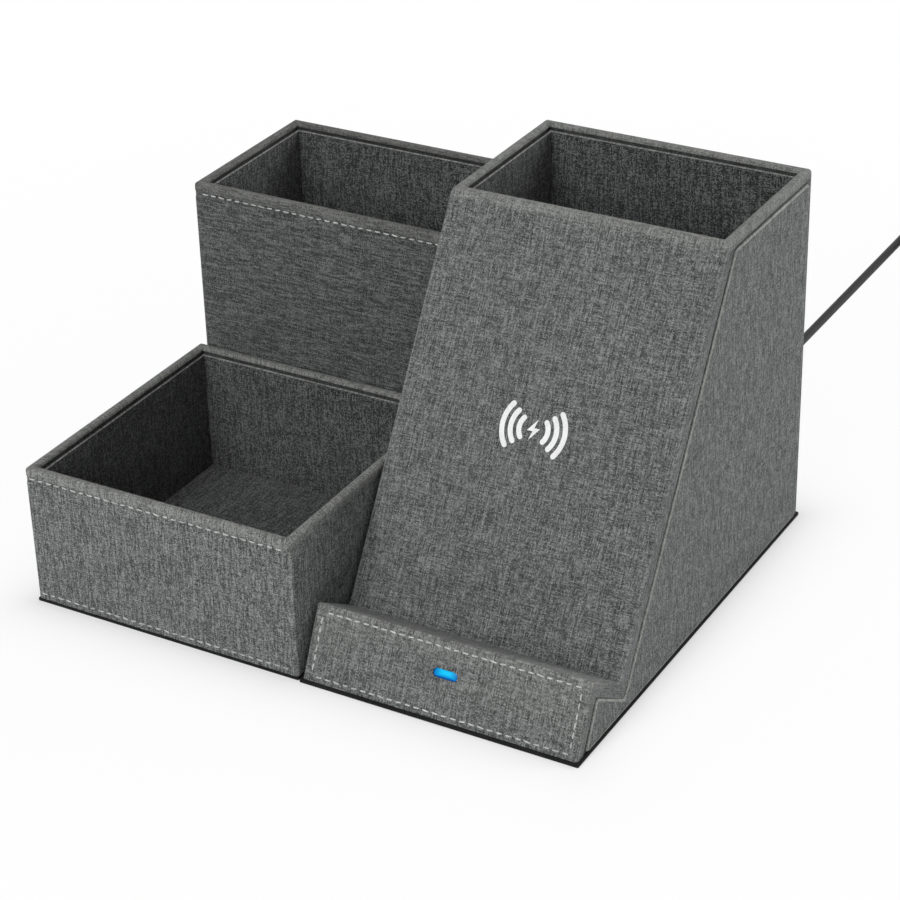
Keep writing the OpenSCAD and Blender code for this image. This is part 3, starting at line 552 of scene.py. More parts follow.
def makePlug():
    def ring(x, wide, high, power=6.0, drop=0.0):
        return roundRing(outlet + Vector((x, plugLook["line"], plugLook["height"] - drop)), (0, 1, 0), (0, 0, 1),
                         wide, high, power, 32)

    rings = [ring(66, 1.7, 1.7, 2), ring(66.2, 2.0, 2.0, 2)]
    for k in range(plugLook["ribs"]):
        x, r = 66.6 + 1.8 * k, 2.15 + 0.32 * k
        rings += [ring(x, r, r, 2), ring(x + 0.9, r, r, 2), ring(x + 1.05, r - 0.3, r - 0.3, 2), ring(x + 1.6, r - 0.3, r - 0.3, 2)]
    rings += [ring(*section) for section in plugLook["grip"]]
    for k in range(plugLook["grooves"]):
        x = 82.5 + 3 * k
        wide = 7.0 - 0.2 * (k == 1)
        rings += [ring(x, wide, 3.8, 7), ring(x + 0.3, wide - 0.3, 3.5, 7), ring(x + 1.2, wide - 0.3, 3.5, 7), ring(x + 1.5, wide, 3.8, 7)]
    rings += [ring(*section) for section in plugLook["front"]]
    grip = makeLoft("plugGrip", rings, gripFinish)
    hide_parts("plug_grip")
    shell = makeLoft("plugShell", [ring(x, wide, high, 14) for x, wide, high in plugLook["shell"]], plateFinish)
    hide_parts("plug_shell")
    windows = []
    for side in (-1, 1):
        square = [outlet + Vector((104.1 + u, plugLook["line"] + side * 2.6 + v, 0)) for u, v in
                  ((-1.1, -1.1), (1.1, -1.1), (1.1, 1.1), (-1.1, 1.1))]
        windows.append([[(p + Vector((0, 0, z))) * mm for p in square] for z in (5, 7)])
    cutPrisms(shell, windows)
    tongue = makeLoft("plugTongue", [ring(x, wide, high, 14, 0.98) for x, wide, high in
                                     ((98.65, 5.5, 0.85), (109.2, 5.5, 0.85), (109.5, 5.35, 0.7))], tongueFinish)
    points, faces = [], []
    for k in range(4):
        y = plugLook["line"] + (k - 1.5) * 2.3
        first, last = (101.5, 108.6) if k in (0, 3) else (102.5, 108.4)
        base = len(points)
        for x, half, z in ((first, 0.45, 3.66), (first, 0.45, 3.74), (last, 0.45, 3.74), (last, 0.45, 3.66)):
            points += [(outlet + Vector((x, y - half, z))) * mm, (outlet + Vector((x, y + half, z))) * mm]
        faces += [(base, base + 2, base + 3, base + 1), (base + 2, base + 4, base + 5, base + 3), (base + 4, base + 6, base + 7, base + 5),
                  (base, base + 1, base + 7, base + 6), (base, base + 6, base + 4, base + 2), (base + 1, base + 3, base + 5, base + 7)]
    contacts = addPiece("plugContacts", points, faces, "stand", goldFinish)
    return [grip, shell, tongue, contacts]


def makeStrainRelief():
    # A ribbed boot: its flange sits on the stand's back and its root goes through the board
    profile = [(-5, 2.4), (-3.02, 2.4), (-3, 2.9), (-0.02, 2.9), (0, 4.7), (0.25, 5), (0.95, 5), (1.2, 4.75), (1.25, 4.0)]
    for k in range(reliefLook["ribs"]):
        y = 1.6 + reliefLook["rib"] * k
        r = 4 - 0.36 * k
        profile += [(y, r), (y + 1.2, r - 0.16), (y + 1.35, r - reliefLook["groove"]), (y + 2.1, r - reliefLook["groove"] - 0.1)]
    profile += [(13.4, 2.05), (13.8, 2.0), (14, 1.8)]
    rings = [roundRing(outlet + Vector((0, y, reliefLook["height"])), (1, 0, 0), (0, 0, 1), r, r) for y, r in profile]
    relief = makeLoft("strainRelief", rings, gripFinish)
    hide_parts("strain_relief")
    return relief


def makeStrap():
    # A loop strap round the coil, its end lapped over its start
    middle, half = outlet + Vector(strapLook["middle"]), strapLook["width"] / 2
    steps = 60
    rings = []
    for k in range(steps + 1):
        turn = strapLook["turns"] * k / steps
        lap = min(max((turn - 0.85) / 0.15, 0), 1) * 1.1 * strapLook["thickness"]
        angle = math.radians(60) + 2 * math.pi * turn
        c, s = math.cos(angle), math.sin(angle)
        wide, high = strapLook["wide"] + lap, strapLook["high"] + lap
        at = middle + Vector((math.copysign(abs(c) ** 0.4, c) * wide, 0, math.copysign(abs(s) ** 0.4, s) * high))
        out = Vector((c / wide, 0, s / high)).normalized()
        thick = strapLook["thickness"] / 2 * (0.4 if k in (0, steps) else 1)
        rings.append(roundRing(at, (0, 1, 0), out, half, thick, 6, 12))
    return makeLoft("coilStrap", rings, strapFinish)


powerCord, cordPoints = makeCord()
cordPieces = makePlug() + [makeStrainRelief(), makeStrap()]


print("covers")
rimLook = {"round": 1.2, "steps": 4, "edgeRound": 1.0, "edgeSteps": 4, "innerCorner": 0.12,
           "groove": 0.3, "grooveTop": 1.5, "grooveEnd": 2.3, "cornerHighlight": 0.5, "seam": 3.5, "seamIn": 0.22}


def rimSection(height, starts, seam):
    # Outer face, seam under the rim, rounded rim and turned-in inner face, as (distance in, height, painted light):
    # above 0 is a painted highlight, below 0 is painted shade in a groove
    wall, r, groove = box["wall"], rimLook["round"], rimLook["groove"]
    angles = arc(rimLook["steps"])
    path = [(0, z, wear) for z, wear in starts]
    path += [(seam * into, height - rimLook["seam"] - down, wear) for into, down, wear in
             ((0, 1.6, 0), (1, 0.4, -0.12 * (seam > 0)), (1, -0.1, -0.1 * (seam > 0)), (0.1, -1.1, 0.6))]
    path += [(r * (1 - math.cos(a)), height - r * (1 - math.sin(a)), 1) for a in angles]
    path += [(wall - r * (1 - math.cos(a)), height - r * (1 - math.sin(a)), 1) for a in reversed(angles)]
    path += [(wall - groove, height - rimLook["grooveTop"], -0.75), (wall - groove, height - rimLook["grooveEnd"], -0.75)]
    return path + [(wall, height - rimLook["grooveEnd"] - 0.4, -0.3), (wall, height - box["turnIn"], 0)]


def rimEdgeLight(section, corners):
    # One value for each point; the outer corners get a painted highlight too
    return [max(wear, corner) if not inset else wear for inset, z, wear in section for corner in corners]


def cornerHighlight(plain=0):
    # A painted highlight along one corner's arc, and none on any plain points after it
    steps = rimLook["edgeSteps"]
    return [rimLook["cornerHighlight"] * math.sin(math.pi * k / steps) for k in range(steps + 1)] + [0.0] * plain


def cornerPoints(corner, inward, inset, first):
    # A rounded corner of a wall's plan, for a distance in from the outer face
    r = max(rimLook["edgeRound"] - inset, rimLook["innerCorner"])
    middle = (corner[0] + inward[0] * (inset + r), corner[1] + inward[1] * (inset + r))
    return [(middle[0] + r * math.cos(first + a), middle[1] + r * math.sin(first + a))
            for a in arc(rimLook["edgeSteps"])]


def boxRing(low, high, inset, z):
    x0, y0, x1, y1 = *low, *high
    half = math.pi / 2
    plan = (cornerPoints((x0, y0), (1, 1), inset, 2 * half) + cornerPoints((x1, y0), (-1, 1), inset, 3 * half)
            + cornerPoints((x1, y1), (-1, -1), inset, 0) + cornerPoints((x0, y1), (1, -1), inset, half))
    return [Vector((x, y, z)) * mm for x, y in plan]


def thicken(item, thickness, outward=-1):
    solid = item.modifiers.new("thickness", "SOLIDIFY")
    solid.thickness = thickness * mm
    solid.offset = outward
    return item


def makeBoxCover(name, node, body, finish):
    low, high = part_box(node)
    low, high = low / mm, high / mm
    section = rimSection(high.z, [(low.z, 0)], rimLook["seamIn"])
    rings = [boxRing(low.xy, high.xy, inset, z) for inset, z, wear in section]
    spans = spansOf(rings[0], True)
    faces, uv = skinRings(rings, spans, True)
    # Painted highlight on the rim and outer corners, painted shade in the rim's grooves
    item = addPiece(name, [p for ring in rings for p in ring], faces, body, finish, uv,
                    worn=rimEdgeLight(section, cornerHighlight() * 4))
    thicken(item, box["fabric"])
    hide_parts(node)
    return item


lowCover = makeBoxCover("lowBoxCover", "low_cover", "low_box", lowFabric)
tallCover = makeBoxCover("tallBoxCover", "tall_cover", "tall_box", tallFabric)

standLook = {"lipRound": 1.1, "ledgeCrease": 0.9, "joinBelowTop": 8, "tuck": 1.1, "steps": 5, "groove": 1.1, "dip": 0.33, "lipHighlight": 0.7}


def standEdge(end):
    # Across the stand: border, rounded edge, front, rounded edge, border, as (x, distance in, share of the way to
    # the border's end). The border dips into a groove before it goes under the side panel; the cover paints shade into
    # it.
    r = rimLook["edgeRound"]
    width = box["standWidth"] - 2 * wrapIn
    under, groove = standLook["tuck"] / end, standLook["groove"]
    dip = standLook["dip"]
    left = [(dip, r, 1), (dip, r, 1 - under), (dip, r, 1 - under - 0.5 * groove / end), (0, r, 1 - under - groove / end)]
    left += [(r * (1 - math.cos(a)), r * (1 - math.sin(a)), 0) for a in arc(rimLook["edgeSteps"])]
    return left + [(width - x, d, share) for x, d, share in reversed(left)]


def standStations():
    # Places along the side view from the lip's base to the join under the rim: (point at a distance in, border's end)
    tuck, steps = standLook["tuck"], standLook["steps"]
    lipIn, ledgeIn, slopeIn = (box[k] + tuck for k in ("panelLip", "panelLedge", "panelSlope"))
    r, crease = standLook["lipRound"], standLook["ledgeCrease"]
    places = [(lambda d: lipAt(d, box["baseSheet"]), lipAt(lipIn, box["baseSheet"]))]
    lipMiddle = lipLedge(r, r)
    for t in arc(steps):
        share = t / (math.pi / 2)
        out = (-intoLip * (1 - share) + upSlope * share).normalized()
        places.append((lambda d, out=out: lipMiddle + (r - d) * out if d < r else lipLedge(d, d), lipLedge(lipIn, ledgeIn)))
    creaseMiddle = ledgeSlope(-crease, -crease)
    for t in arc(steps):
        out = math.cos(t) * upSlope - math.sin(t) * intoSlope
        places.append((lambda d, out=out: creaseMiddle - (crease + d) * out, ledgeSlope(ledgeIn, slopeIn)))
    join = box["standHeight"] - standLook["joinBelowTop"]
    edge = slopeAt(0, join).x
    places.append((lambda d: flat2(edge + d, join), flat2(edge + slopeIn / math.sin(slope), join)))
    return places


def makeStandCover():
    width, depth, height = box["standWidth"] - 2 * wrapIn, box["standDepth"], box["standHeight"]
    points, faces, uv = [], [], []

    def skin(rings, spans, closed):
        more, woven = skinRings(rings, spans, closed, len(points))
        points.extend(p for ring in rings for p in ring)
        faces.extend(more)
        uv.extend(woven)

    def atWrap(x, side):
        return toFrame(wrapIn + x, side)

    rings = []
    for at, end in standStations():
        reach = (end - at(rimLook["edgeRound"])).length
        rings.append([atWrap(x, at(d).lerp(end, share)) for x, d, share in standEdge(reach)])
    spans = spansOf(rings[-1], False)
    skin(rings, spans, False)
    # The back, folded onto both sides
    join = height - standLook["joinBelowTop"]
    behind = box["panelBack"] + standLook["tuck"]
    back = [[atWrap(x, flat2(depth - d - share * (behind - d), z)) for x, d, share in standEdge(behind)]
            for z in (box["baseSheet"], join)]
    skin(back, spansOf(back[0], False), False)
    # The rim round the cup, whose front side leans with the slope
    r, steps = rimLook["edgeRound"], rimLook["edgeSteps"]
    frontIn = (box["panelSlope"] + standLook["tuck"]) / math.sin(slope)
    rings = []
    panelTop = height - box["panelTop"]
    section = rimSection(height, [(join, 0)] + [(panelTop + rise, 0) for rise in (-standLook["tuck"], 0.2)], 0)
    section[3] = (0, panelTop + standLook["groove"], 0.2)  # in place of the boxes' seam
    del section[4:7]
    half = math.pi / 2
    for inset, z, wear in section:
        lean = (height - z) / math.tan(slope) if inset < box["wall"] / 2 else 0
        y0 = rimY - lean
        plan = [(x, y) for x, y in cornerPoints((0, y0), (1, 1), inset, 2 * half)]
        plan += cornerPoints((width, y0), (-1, 1), inset, 3 * half)
        into = standLook["dip"] if len(rings) in (1, 2) else inset
        plan += [(width - into, y0 + max(frontIn, inset)), (width - into, depth - behind)]
        plan += cornerPoints((width, depth), (-1, -1), inset, 0)
        plan += cornerPoints((0, depth), (1, -1), inset, half)
        plan += [(into, depth - behind), (into, y0 + max(frontIn, inset))]
        rings.append([atWrap(x, flat2(y, z)) for x, y in plan])
    across = len(standEdge(1))
    # Painted shade in the border's groove beside the side panels, a painted highlight on the rounded corners
    side = [-0.55] * 3 + [0.0] + cornerHighlight()
    worn = (side + side[::-1]) * (len(points) // across)
    worn += rimEdgeLight(section, cornerHighlight() + cornerHighlight(2) + cornerHighlight() + cornerHighlight(2))
    for i in (1, 2):  # painted shade where the cover goes behind the side panels' top edges
        for k in (10, 11, 22, 23):
            worn[len(points) + i * len(rings[0]) + k] = -0.55
    for i in range(1, standLook["steps"] + 2):  # a painted highlight on the lip's top edge
        for k in range(4, across - 4):
            worn[i * across + k] = standLook["lipHighlight"]
    skin(rings, spansOf(rings[0], True), True)
    item = addPiece("standCover", points, faces, "stand", standFabric, uv, worn=worn)
    thicken(item, box["fabric"])
    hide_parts("stand_cover")
    return item


standCover = makeStandCover()


print("panels, liners and sheets")


def roundCorners(points, r, steps=3):
    made = []
    count = len(points)
    for i, p in enumerate(points):
        a, b = (points[i - 1] - p), (points[(i + 1) % count] - p)
        away, on = a.normalized(), b.normalized()
        turn = math.acos(max(-1, min(1, away.dot(on))))
        reach = min(r / math.tan(turn / 2), a.length * 0.45, b.length * 0.45)
        for k in range(steps + 1):
            t = k / steps
            made.append((p + away * reach) * (1 - t) ** 2 + p * 2 * t * (1 - t) + (p + on * reach) * t * t)
    return made


def insetPath(points, d):
    # A closed path moved inward (to the left of its run)
    made = []
    count = len(points)
    for i, p in enumerate(points):
        a = (p - points[i - 1]).normalized()
        b = (points[(i + 1) % count] - p).normalized()
        left = flat2(-(a.y + b.y), a.x + b.x).normalized()
        made.append(p + left * d / max(0.3, left.dot(flat2(-b.y, b.x))))
    return made


def makeCard(name, outline, place, thickness, edge, body, finish, replaced=(), steps=3, back=0, band=0):
    # A flat card with rounded front edges: outline in mm, place(u, v, out) gives the point in the frame; the painted
    # highlight on its edges ends with the rounding, or a band further in
    area = sum(crossZ(a, b) for a, b in zip(outline, outline[1:] + outline[:1]))
    if area < 0:
        outline = outline[::-1]
    rings = [(back, 0), (0, back)] if back else [(0, 0)]
    rings.append((0, thickness - edge))
    rings += [(edge * (1 - math.cos(a)), thickness - edge * (1 - math.sin(a))) for a in arc(steps)[1:]]
    # Painted shade on the back and sides, a painted highlight on the rounded edge
    wear = [-0.6] * (len(rings) - steps) + [0.7] + [1.0] * (steps - 2) + [0.0]
    if band:
        rings.append((edge + band, thickness))
        wear = wear[:-1] + [0.9, 0.0]
    points, faces, uv = [], [], []
    count = len(outline)
    flat = []
    for inset, out in rings:
        path = insetPath(outline, inset) if inset else outline
        flat.append(path)
        points += [place(p.x, p.y, out) * mm for p in path]

    for i in range(len(rings) - 1):
        for k in range(count):
            j = (k + 1) % count
            faces.append((i * count + k, i * count + j, (i + 1) * count + j, (i + 1) * count + k))
            lift = (rings[i][1] * mm, rings[i + 1][1] * mm)
            corners = [flat[i][k] * mm, flat[i][j] * mm, flat[i + 1][j] * mm, flat[i + 1][k] * mm]
            uv += [(c.x + lift[s > 1], c.y + lift[s > 1]) for s, c in enumerate(corners)]
    last = (len(rings) - 1) * count
    faces += [tuple(range(last, last + count)), tuple(range(count))[::-1]]
    uv += [tuple(p * mm) for p in flat[-1] + flat[0][::-1]]
    worn = [value for value in wear for _ in range(count)]
    item = addPiece(name, points, faces, body, finish, uv, worn=worn)
    if replaced:
        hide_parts(*replaced)
    return item


def panelOutline():
    top = box["standHeight"] - box["panelTop"]
    back = box["standDepth"] - box["panelBack"]
    base = box["baseSheet"]
    corners = [lipAt(box["panelLip"], base), lipLedge(box["panelLip"], box["panelLedge"]),
               ledgeSlope(box["panelLedge"], box["panelSlope"]), slopeAt(box["panelSlope"], top),
               flat2(back, top), flat2(back, base)]
    return roundCorners(corners, 1.6)


def makePanels():
    thickness = box["panel"]
    for name, node, base, out in (("rightSidePanel", "right_side_panel", box["standWidth"] - thickness, 1),
                                  ("leftSidePanel", "left_side_panel", thickness, -1)):
        makeCard(name, panelOutline(), lambda y, z, d, b=base, s=out: toFrame(b + s * d, flat2(y, z)) / mm,
                 thickness, 0.7, "stand", panelFabric, [node], band=0.1)


makePanels()


def makeSlab(name, node, axis, sign, edge, body, finish):
    # A card where a CAD node is: axis is the way its face looks, sign its sense
    low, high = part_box(node)
    low, high = low / mm, high / mm
    others = [i for i in range(3) if i != axis]
    outline = [flat2(low[others[0]], low[others[1]]), flat2(high[others[0]], low[others[1]]),
               flat2(high[others[0]], high[others[1]]), flat2(low[others[0]], high[others[1]])]

    def place(u, v, out):
        point = Vector((0, 0, 0))
        point[others[0]], point[others[1]] = u, v
        point[axis] = low[axis] + out if sign > 0 else high[axis] - out
        return point

    return makeCard(name, roundCorners(outline, max(edge, 0.3), 2), place, high[axis] - low[axis], edge,
                    body, finish, [node], back=edge)


def makeLiners():
    sides = (("front", 1, 1), ("back", 1, -1), ("left", 0, 1), ("right", 0, -1), ("floor", 2, 1))
    for title, prefix, body in (("cup", "cup", "stand"), ("lowBox", "low", "low_box"), ("tallBox", "tall", "tall_box")):
        for side, axis, sign in sides:
            makeSlab(title + side.capitalize() + "Liner", prefix + "_" + side + "_liner", axis, sign, 0.45,
                     body, linerFabric)


makeLiners()


sheetFinish = makeGrainy("blackSheet", grey(0.006), grey(0.018), 900, 0.85, 0.1, 0.00005, Specular_IOR_Level=0.12)
for title, node, body in (("standBaseSheet", "stand_base_sheet", "stand"), ("lowBoxBaseSheet", "low_base_sheet", "low_box"),
                          ("tallBoxBaseSheet", "tall_base_sheet", "tall_box")):
    makeSlab(title, node, 2, 1, 0.25, body, sheetFinish)


print("charging light")
lightLook = {"width": 8, "height": 2.7, "recess": 0.4, "dome": 0.15, "glow": 0.95}


def slotOutline(width, height, steps=8):
    r = height / 2
    half = width / 2 - r
    right = [flat2(half + r * math.sin(a), -r * math.cos(a)) for a in (math.pi * k / steps for k in range(steps + 1))]
    return right + [-p for p in right]


def atLight(u, v, out):
    side = box["lightUp"] * upLip + v * upLip - out * intoLip
    return toFrame(box["standWidth"] / 2 + u, side) / mm


def cutWindow():
    outline = slotOutline(lightLook["width"], lightLook["height"])
    cutPrisms(standCover, [[[atLight(p.x, p.y, out) * mm for p in outline] for out in (-2, 2)]])


def makeGlowFinish():
    finish, tree, shader = startMaterial("lightGuide", 0.3, Specular_IOR_Level=0.1)
    place = placeOf(tree)
    middle = atLight(0, 0, 0) * mm
    parts = tree.nodes.new("ShaderNodeSeparateXYZ")
    tree.links.new(mathOf(tree, "SUBTRACT", place, middle), parts.inputs[0])
    sideways = calc(tree, "DIVIDE", calc(tree, "ABSOLUTE", parts.outputs[0]), lightLook["width"] / 2 * mm)
    upward = calc(tree, "DIVIDE", calc(tree, "ABSOLUTE", calc(tree, "SUBTRACT", parts.outputs[2], 0.0002)),
                  lightLook["height"] / 2 * upLip.y * mm)
    away = calc(tree, "MAXIMUM", sideways, calc(tree, "MULTIPLY", upward, 0.92))
    edge = stretch(tree, away, 0.25, 1.0)
    shade = blendOf(tree, edge, (0.0, 0.60, 1.0, 1), (0.0, 0.09, 0.42, 1), True)
    shader.inputs["Base Color"].default_value = (0.0, 0.012, 0.05, 1)
    tree.links.new(shade, shader.inputs["Emission Color"])
    shader.inputs["Emission Strength"].default_value = lightLook["glow"]
    return finish


cutWindow()
makeCard("lightGuide", slotOutline(lightLook["width"] - 0.05, lightLook["height"] - 0.05), lambda u, v, out: atLight(u, v, out - 2.6),
         2.6 - lightLook["recess"], lightLook["dome"] + 0.35, "stand", makeGlowFinish(), ["light_guide"])


print("stitches")
stitchLook = {"pitch": 3.0, "length": 2.25, "width": 0.5, "height": 0.3}


threadFinish = makeGrainy("stitchThread", (0.32, 0.325, 0.315), (0.70, 0.71, 0.69), 1500, 0.7, 0.1, 0.00005)


def makeStitches(name, start, end, out, body):
    # A row of machine stitches from start to end (mm, in the frame) on a face that looks out
    run = end - start
    count = max(1, round(run.length / stitchLook["pitch"]))
    along, out = run.normalized(), out.normalized()
    side = out.cross(along)
    points, faces = [], []
    rows, sides = 7, 6
    for n in range(count):
        middle = start + run * (n + 0.5) / count
        uneven = math.sin(n * 2.4) + math.sin(n * 5.1 + start.x)  # hand-like unevenness
        swing, reach = 0.09 * uneven, stitchLook["length"] / 2 * (1 - 0.06 * uneven)
        sunk = 0.05 * (1 + math.sin(n * 3.7 + start.z))
        base = len(points)
        for i in range(rows):
            t = i / (rows - 1) * 2 - 1
            fat = math.sqrt(max(0.0, 1 - abs(t) ** 3)) * 0.85 + 0.15
            lift = stitchLook["height"] * (0.55 - 0.75 * t * t) - sunk
            centre = middle + along * t * reach + side * swing * t + out * lift
            for k in range(sides):
                a = 2 * math.pi * (k + 0.5) / sides
                points.append((centre + side * math.cos(a) * stitchLook["width"] / 2 * fat
                               + out * math.sin(a) * stitchLook["height"] / 2 * fat) * mm)
        for i in range(rows - 1):
            for k in range(sides):
                j = (k + 1) % sides
                faces.append((base + i * sides + k, base + i * sides + j, base + (i + 1) * sides + j, base + (i + 1) * sides + k))
        faces.append(tuple(base + k for k in range(sides))[::-1])
        faces.append(tuple(base + (rows - 1) * sides + k for k in range(sides)))
    return addPiece(name, points, faces, body, threadFinish, None, 80)


def makeAllStitches():
    lipLength = lipTop.length
    out = Vector((0, -intoLip.x, -intoLip.y))

    def onLip(x, up):
        return toFrame(x, up * upLip) / mm

    left, right = 0.047 * box["standWidth"], 0.966 * box["standWidth"]
    makeStitches("lipTopStitches", onLip(left, lipLength - 2.4), onLip(right, lipLength - 2.4), out, "stand")
    makeStitches("lipBottomStitches", onLip(left, 2.9), onLip(right, 2.9), out, "stand")
    makeStitches("lipRightStitches", onLip(right - 0.2, 4.2), onLip(right - 0.2, lipLength - 3.6), out, "stand")
    makeStitches("lipLeftStitches", onLip(left - 1, 4.2), onLip(left - 1, lipLength - 3.6), out, "stand")
    front = Vector((0, -1, 0))
    low, high = (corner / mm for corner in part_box("low_cover"))
    seamY, seamZ = low.y + rimLook["seamIn"], high.z - rimLook["seam"]
    makeStitches("lowBoxTopStitches", Vector((low.x + 0.9, seamY, seamZ)), Vector((high.x - 2.6, seamY, seamZ)), front, "low_box")
    makeStitches("lowBoxBottomStitches", Vector((low.x + 0.9, low.y, 3.1)), Vector((high.x - 2.6, low.y, 3.1)), front, "low_box")
    low, high = (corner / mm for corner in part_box("tall_cover"))
    seamY, seamZ = low.y + rimLook["seamIn"], high.z - rimLook["seam"]
    makeStitches("tallBoxTopStitches", Vector((low.x + 2.6, seamY, seamZ)), Vector((high.x - 2.6, seamY, seamZ)), front, "tall_box")


makeAllStitches()


print("printed mark")
markLook = {"arcs": (4.6, 7.3, 10.0), "stroke": 1.6, "spread": 38, "raise": 0.05, "bolt": 1.0}


def makeMark():
    # A plain waves-and-bolt mark of the charging spot, printed on the slope
    ink = makeGrainy("whiteInk", grey(0.74), grey(0.90), 1800, 0.6, 0.1, 0.00006)
    points, faces = [], []

    def onSlope(u, v, out):
        side = foot + (box["coilUp"] + v) * upSlope - out * intoSlope
        return toFrame(box["standWidth"] / 2 + u, side)

    def stamp(outline):
        base, count = len(points), len(outline)
        points.extend(onSlope(u, v, out) for out in (-0.05, markLook["raise"]) for u, v in outline)
        faces.append(tuple(range(base + count, base + 2 * count)))
        faces.append(tuple(range(base, base + count))[::-1])
        faces.extend((base + k, base + (k + 1) % count, base + (k + 1) % count + count, base + k + count)
                     for k in range(count))

    steps = 14
    for r in markLook["arcs"]:
        for turn in (0, 180):
            angles = [math.radians(turn - markLook["spread"] + 2 * markLook["spread"] * k / steps) for k in range(steps + 1)]
            outer, inner = r + markLook["stroke"] / 2, r - markLook["stroke"] / 2
            tip = [math.radians(turn + s * markLook["spread"]) for s in (1, -1)]
            ring = [(outer * math.cos(a), outer * math.sin(a)) for a in angles]
            ring += [((r + markLook["stroke"] / 2 * math.cos(b)) * math.cos(tip[0]) - markLook["stroke"] / 2 * math.sin(b) * math.sin(tip[0]),
                      (r + markLook["stroke"] / 2 * math.cos(b)) * math.sin(tip[0]) + markLook["stroke"] / 2 * math.sin(b) * math.cos(tip[0]))
                     for b in (math.pi * k / 6 for k in range(1, 6))]
            ring += [(inner * math.cos(a), inner * math.sin(a)) for a in reversed(angles)]
            ring += [((r - markLook["stroke"] / 2 * math.cos(b)) * math.cos(tip[1]) + markLook["stroke"] / 2 * math.sin(b) * math.sin(tip[1]),
                      (r - markLook["stroke"] / 2 * math.cos(b)) * math.sin(tip[1]) - markLook["stroke"] / 2 * math.sin(b) * math.cos(tip[1]))
                     for b in (math.pi * k / 6 for k in range(1, 6))]
            stamp(ring)
    size = markLook["bolt"]
    stamp([(size * u, size * v) for u, v in ((0.9, 3.2), (-2.0, -0.5), (-0.2, -0.5), (-0.9, -3.2), (2.0, 0.5), (0.2, 0.5))])
    addPiece("chargingMark", points, faces, "stand", ink, None, 30)


makeMark()


print("inner parts")
coilLook = {"wire": 0.0008, "dark": (0.10, 0.035, 0.012), "light": (0.66, 0.29, 0.13)}
boardLook = {"trace": 0.0016, "block": 0.005, "mask": (0.012, 0.085, 0.035), "copper": (0.03, 0.17, 0.07)}


def makeCoilFinish():
    # Enamelled wire wound flat: rings about the coil's middle, each turn painted light on its crown and dark at its
    # sides as painted shade
    finish, tree, shader = startMaterial("woundCopper", 0.32, Metallic=1.0)
    middle = toFrame(box["standWidth"] / 2, foot + box["coilUp"] * upSlope)
    away = mathOf(tree, "SUBTRACT", placeOf(tree), middle)
    across = mathOf(tree, "LENGTH", mathOf(tree, "CROSS_PRODUCT", away, (0, intoSlope.x, intoSlope.y)))
    turn = calc(tree, "FRACT", calc(tree, "DIVIDE", across, coilLook["wire"]))
    wire = calc(tree, "SINE", calc(tree, "MULTIPLY", turn, math.pi))
    tree.links.new(blendOf(tree, wire, (*coilLook["dark"], 1), (*coilLook["light"], 1), True), shader.inputs["Base Color"])
    tree.links.new(stretch(tree, noiseOf(tree, placeOf(tree), 900, 2), 0.3, 0.7, 0.24, 0.42), shader.inputs["Roughness"])
    bumpInto(tree, shader, wire, 0.0003, 0.8)
    return finish


def makeCircuitFinish():
    # Solder mask over copper traces that run in short blocks
    finish, tree, shader = startMaterial("solderMask", 0.35, Coat_Weight=0.3)
    parts = tree.nodes.new("ShaderNodeSeparateXYZ")
    tree.links.new(placeOf(tree), parts.inputs[0])
    lines = calc(tree, "GREATER_THAN", calc(tree, "FRACT", calc(tree, "DIVIDE", parts.outputs[0], boardLook["trace"])), 0.55)
    block = tree.nodes.new("ShaderNodeTexWhiteNoise")
    cells = [calc(tree, "FLOOR", calc(tree, "DIVIDE", part, boardLook["block"])) for part in parts.outputs]
    tree.links.new(vectorOf(tree, *cells), block.inputs["Vector"])
    trace = calc(tree, "MULTIPLY", lines, calc(tree, "GREATER_THAN", block.outputs[0], 0.45))
    tree.links.new(blendOf(tree, trace, (*boardLook["mask"], 1), (*boardLook["copper"], 1), True), shader.inputs["Base Color"])
    tree.links.new(stretch(tree, noiseOf(tree, placeOf(tree), 700, 2), 0.3, 0.7, 0.28, 0.45), shader.inputs["Roughness"])
    bumpInto(tree, shader, trace, 0.00004, 0.8)
    return finish


innerFinishes = {
    "board": makeGrainy("fibreboard", (0.34, 0.25, 0.155), (0.60, 0.47, 0.33), 480, 0.85, 0.1, 0.00012),
    "tray_plastic": makeGrainy("trayPlastic", (0.66, 0.65, 0.60), (0.79, 0.78, 0.73), 1400, 0.5, 0.12, 0.00003),
    "ferrite": makeGrainy("ferriteSheet", grey(0.05), (0.11, 0.11, 0.12), 1100, 0.75, 0.15, 0.00006),
    "component": makeGrainy("mouldedParts", grey(0.03), grey(0.085), 1600, 0.42, 0.2, 0.00003),
    "screw_steel": makeGrainy("zincPlate", (0.44, 0.45, 0.48), (0.70, 0.70, 0.74), 700, 0.34, 0.25, 0.00003, Metallic=1.0),
    "magnet": makeGrainy("nickelPlate", (0.52, 0.51, 0.49), (0.74, 0.73, 0.70), 500, 0.22, 0.2, 0.00001, Metallic=1.0),
    "lead_red": makeGrainy("redLead", (0.27, 0.015, 0.012), (0.42, 0.035, 0.03), 1200, 0.45, 0.15, 0.00003),
    "lead_black": makeGrainy("blackLead", grey(0.015), grey(0.04), 1200, 0.45, 0.15, 0.00003),
    "coil_wire": makeCoilFinish(), "circuit_board": makeCircuitFinish(),
}
for node in nodes.values():
    for held in node.material_slots:
        if held.material and held.material.name in innerFinishes:
            held.material = innerFinishes[held.material.name]


stageLook = {"floor": 0.93, "white": 0.93, "shadow": 0.5, "shadowReach": 0.008}


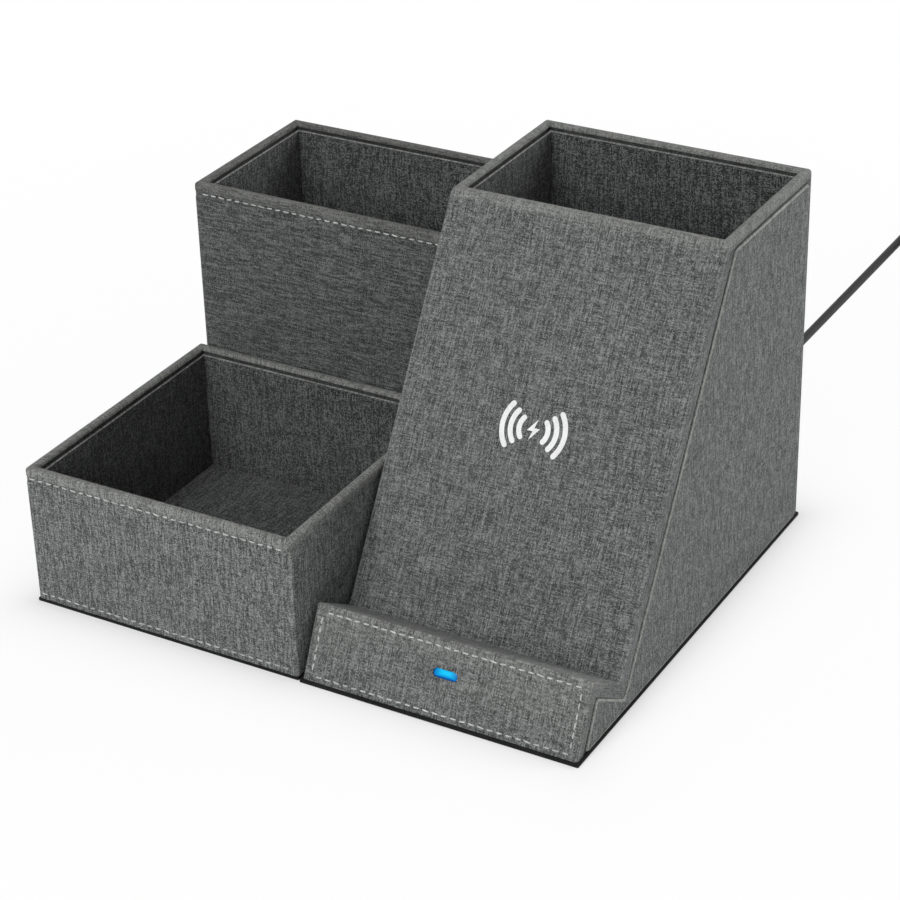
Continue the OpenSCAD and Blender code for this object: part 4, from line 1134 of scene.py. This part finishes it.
def makeStage():
    floor = bpy.data.meshes.new("floor")
    floor.from_pydata([(-4, -4, 0), (4, -4, 0), (4, 4, 0), (-4, 4, 0)], [], [(0, 1, 2, 3)])
    item = bpy.data.objects.new("floor", floor)
    tools.objects.link(item)
    finish, tree, shader = startMaterial("paleFloor", 0.8, Base_Color=grey(stageLook["floor"]) + (1,))
    rays = tree.nodes.new("ShaderNodeLightPath")
    white = tree.nodes.new("ShaderNodeEmission")
    mixed = tree.nodes.new("ShaderNodeMixShader")
    seen = calc(tree, "MAXIMUM", rays.outputs["Is Camera Ray"], rays.outputs["Is Glossy Ray"])
    place = placeOf(tree)
    half = ((box["standX"] + box["standWidth"]) * mm, -box["frontY"] * mm, 1)  # of the modules' outline on the floor
    beyond = mathOf(tree, "MAXIMUM", mathOf(tree, "SUBTRACT", mathOf(tree, "ABSOLUTE", place), half), (0, 0, 0))
    near = calc(tree, "POWER", math.e, calc(tree, "DIVIDE", mathOf(tree, "LENGTH", beyond), -stageLook["shadowReach"]))
    share = calc(tree, "SUBTRACT", stretch(tree, mathOf(tree, "LENGTH", place), 0.1, 0.45, stageLook["white"], 1.0),
                 calc(tree, "MULTIPLY", near, stageLook["shadow"]))
    tree.links.new(calc(tree, "MULTIPLY", seen, share), mixed.inputs[0])
    tree.links.new(shader.outputs[0], mixed.inputs[1])
    tree.links.new(white.outputs[0], mixed.inputs[2])
    tree.links.new(mixed.outputs[0], tree.nodes["Material Output"].inputs[0])
    floor.materials.append(finish)


def addLamp(name, place, aim, size, power):
    data = bpy.data.lights.new(name, "AREA")
    data.size, data.energy = size, power
    item = bpy.data.objects.new(name, data)
    tools.objects.link(item)
    item.location = place
    item.rotation_euler = (Vector(aim) - Vector(place)).to_track_quat("-Z", "Y").to_euler()


def makeLight():
    world = bpy.data.worlds.new("studio")
    bpy.context.scene.world = world
    world.use_nodes = True
    tree = world.node_tree
    back = tree.nodes["Background"]
    rays = tree.nodes.new("ShaderNodeLightPath")
    seen = calc(tree, "MAXIMUM", rays.outputs["Is Camera Ray"],
                calc(tree, "MAXIMUM", rays.outputs["Is Glossy Ray"], rays.outputs["Is Transmission Ray"]))
    back.inputs["Color"].default_value = (1, 1, 1, 1)
    tree.links.new(stretch(tree, seen, 0, 1, 0.2, 1.0), back.inputs["Strength"])
    addLamp("keyLamp", (-0.1, -1.25, 0.83), (0, 0, 0.05), 0.7, 14.3)
    addLamp("sideLamp", (1.05, 0.75, 0.5), (0, 0, 0.05), 0.6, 8.5)
    addLamp("topLamp", (0, 0.3, 1.5), (0, 0, 0), 0.8, 4)


makeStage()
makeLight()
bpy.context.scene.view_settings.view_transform = "Standard"
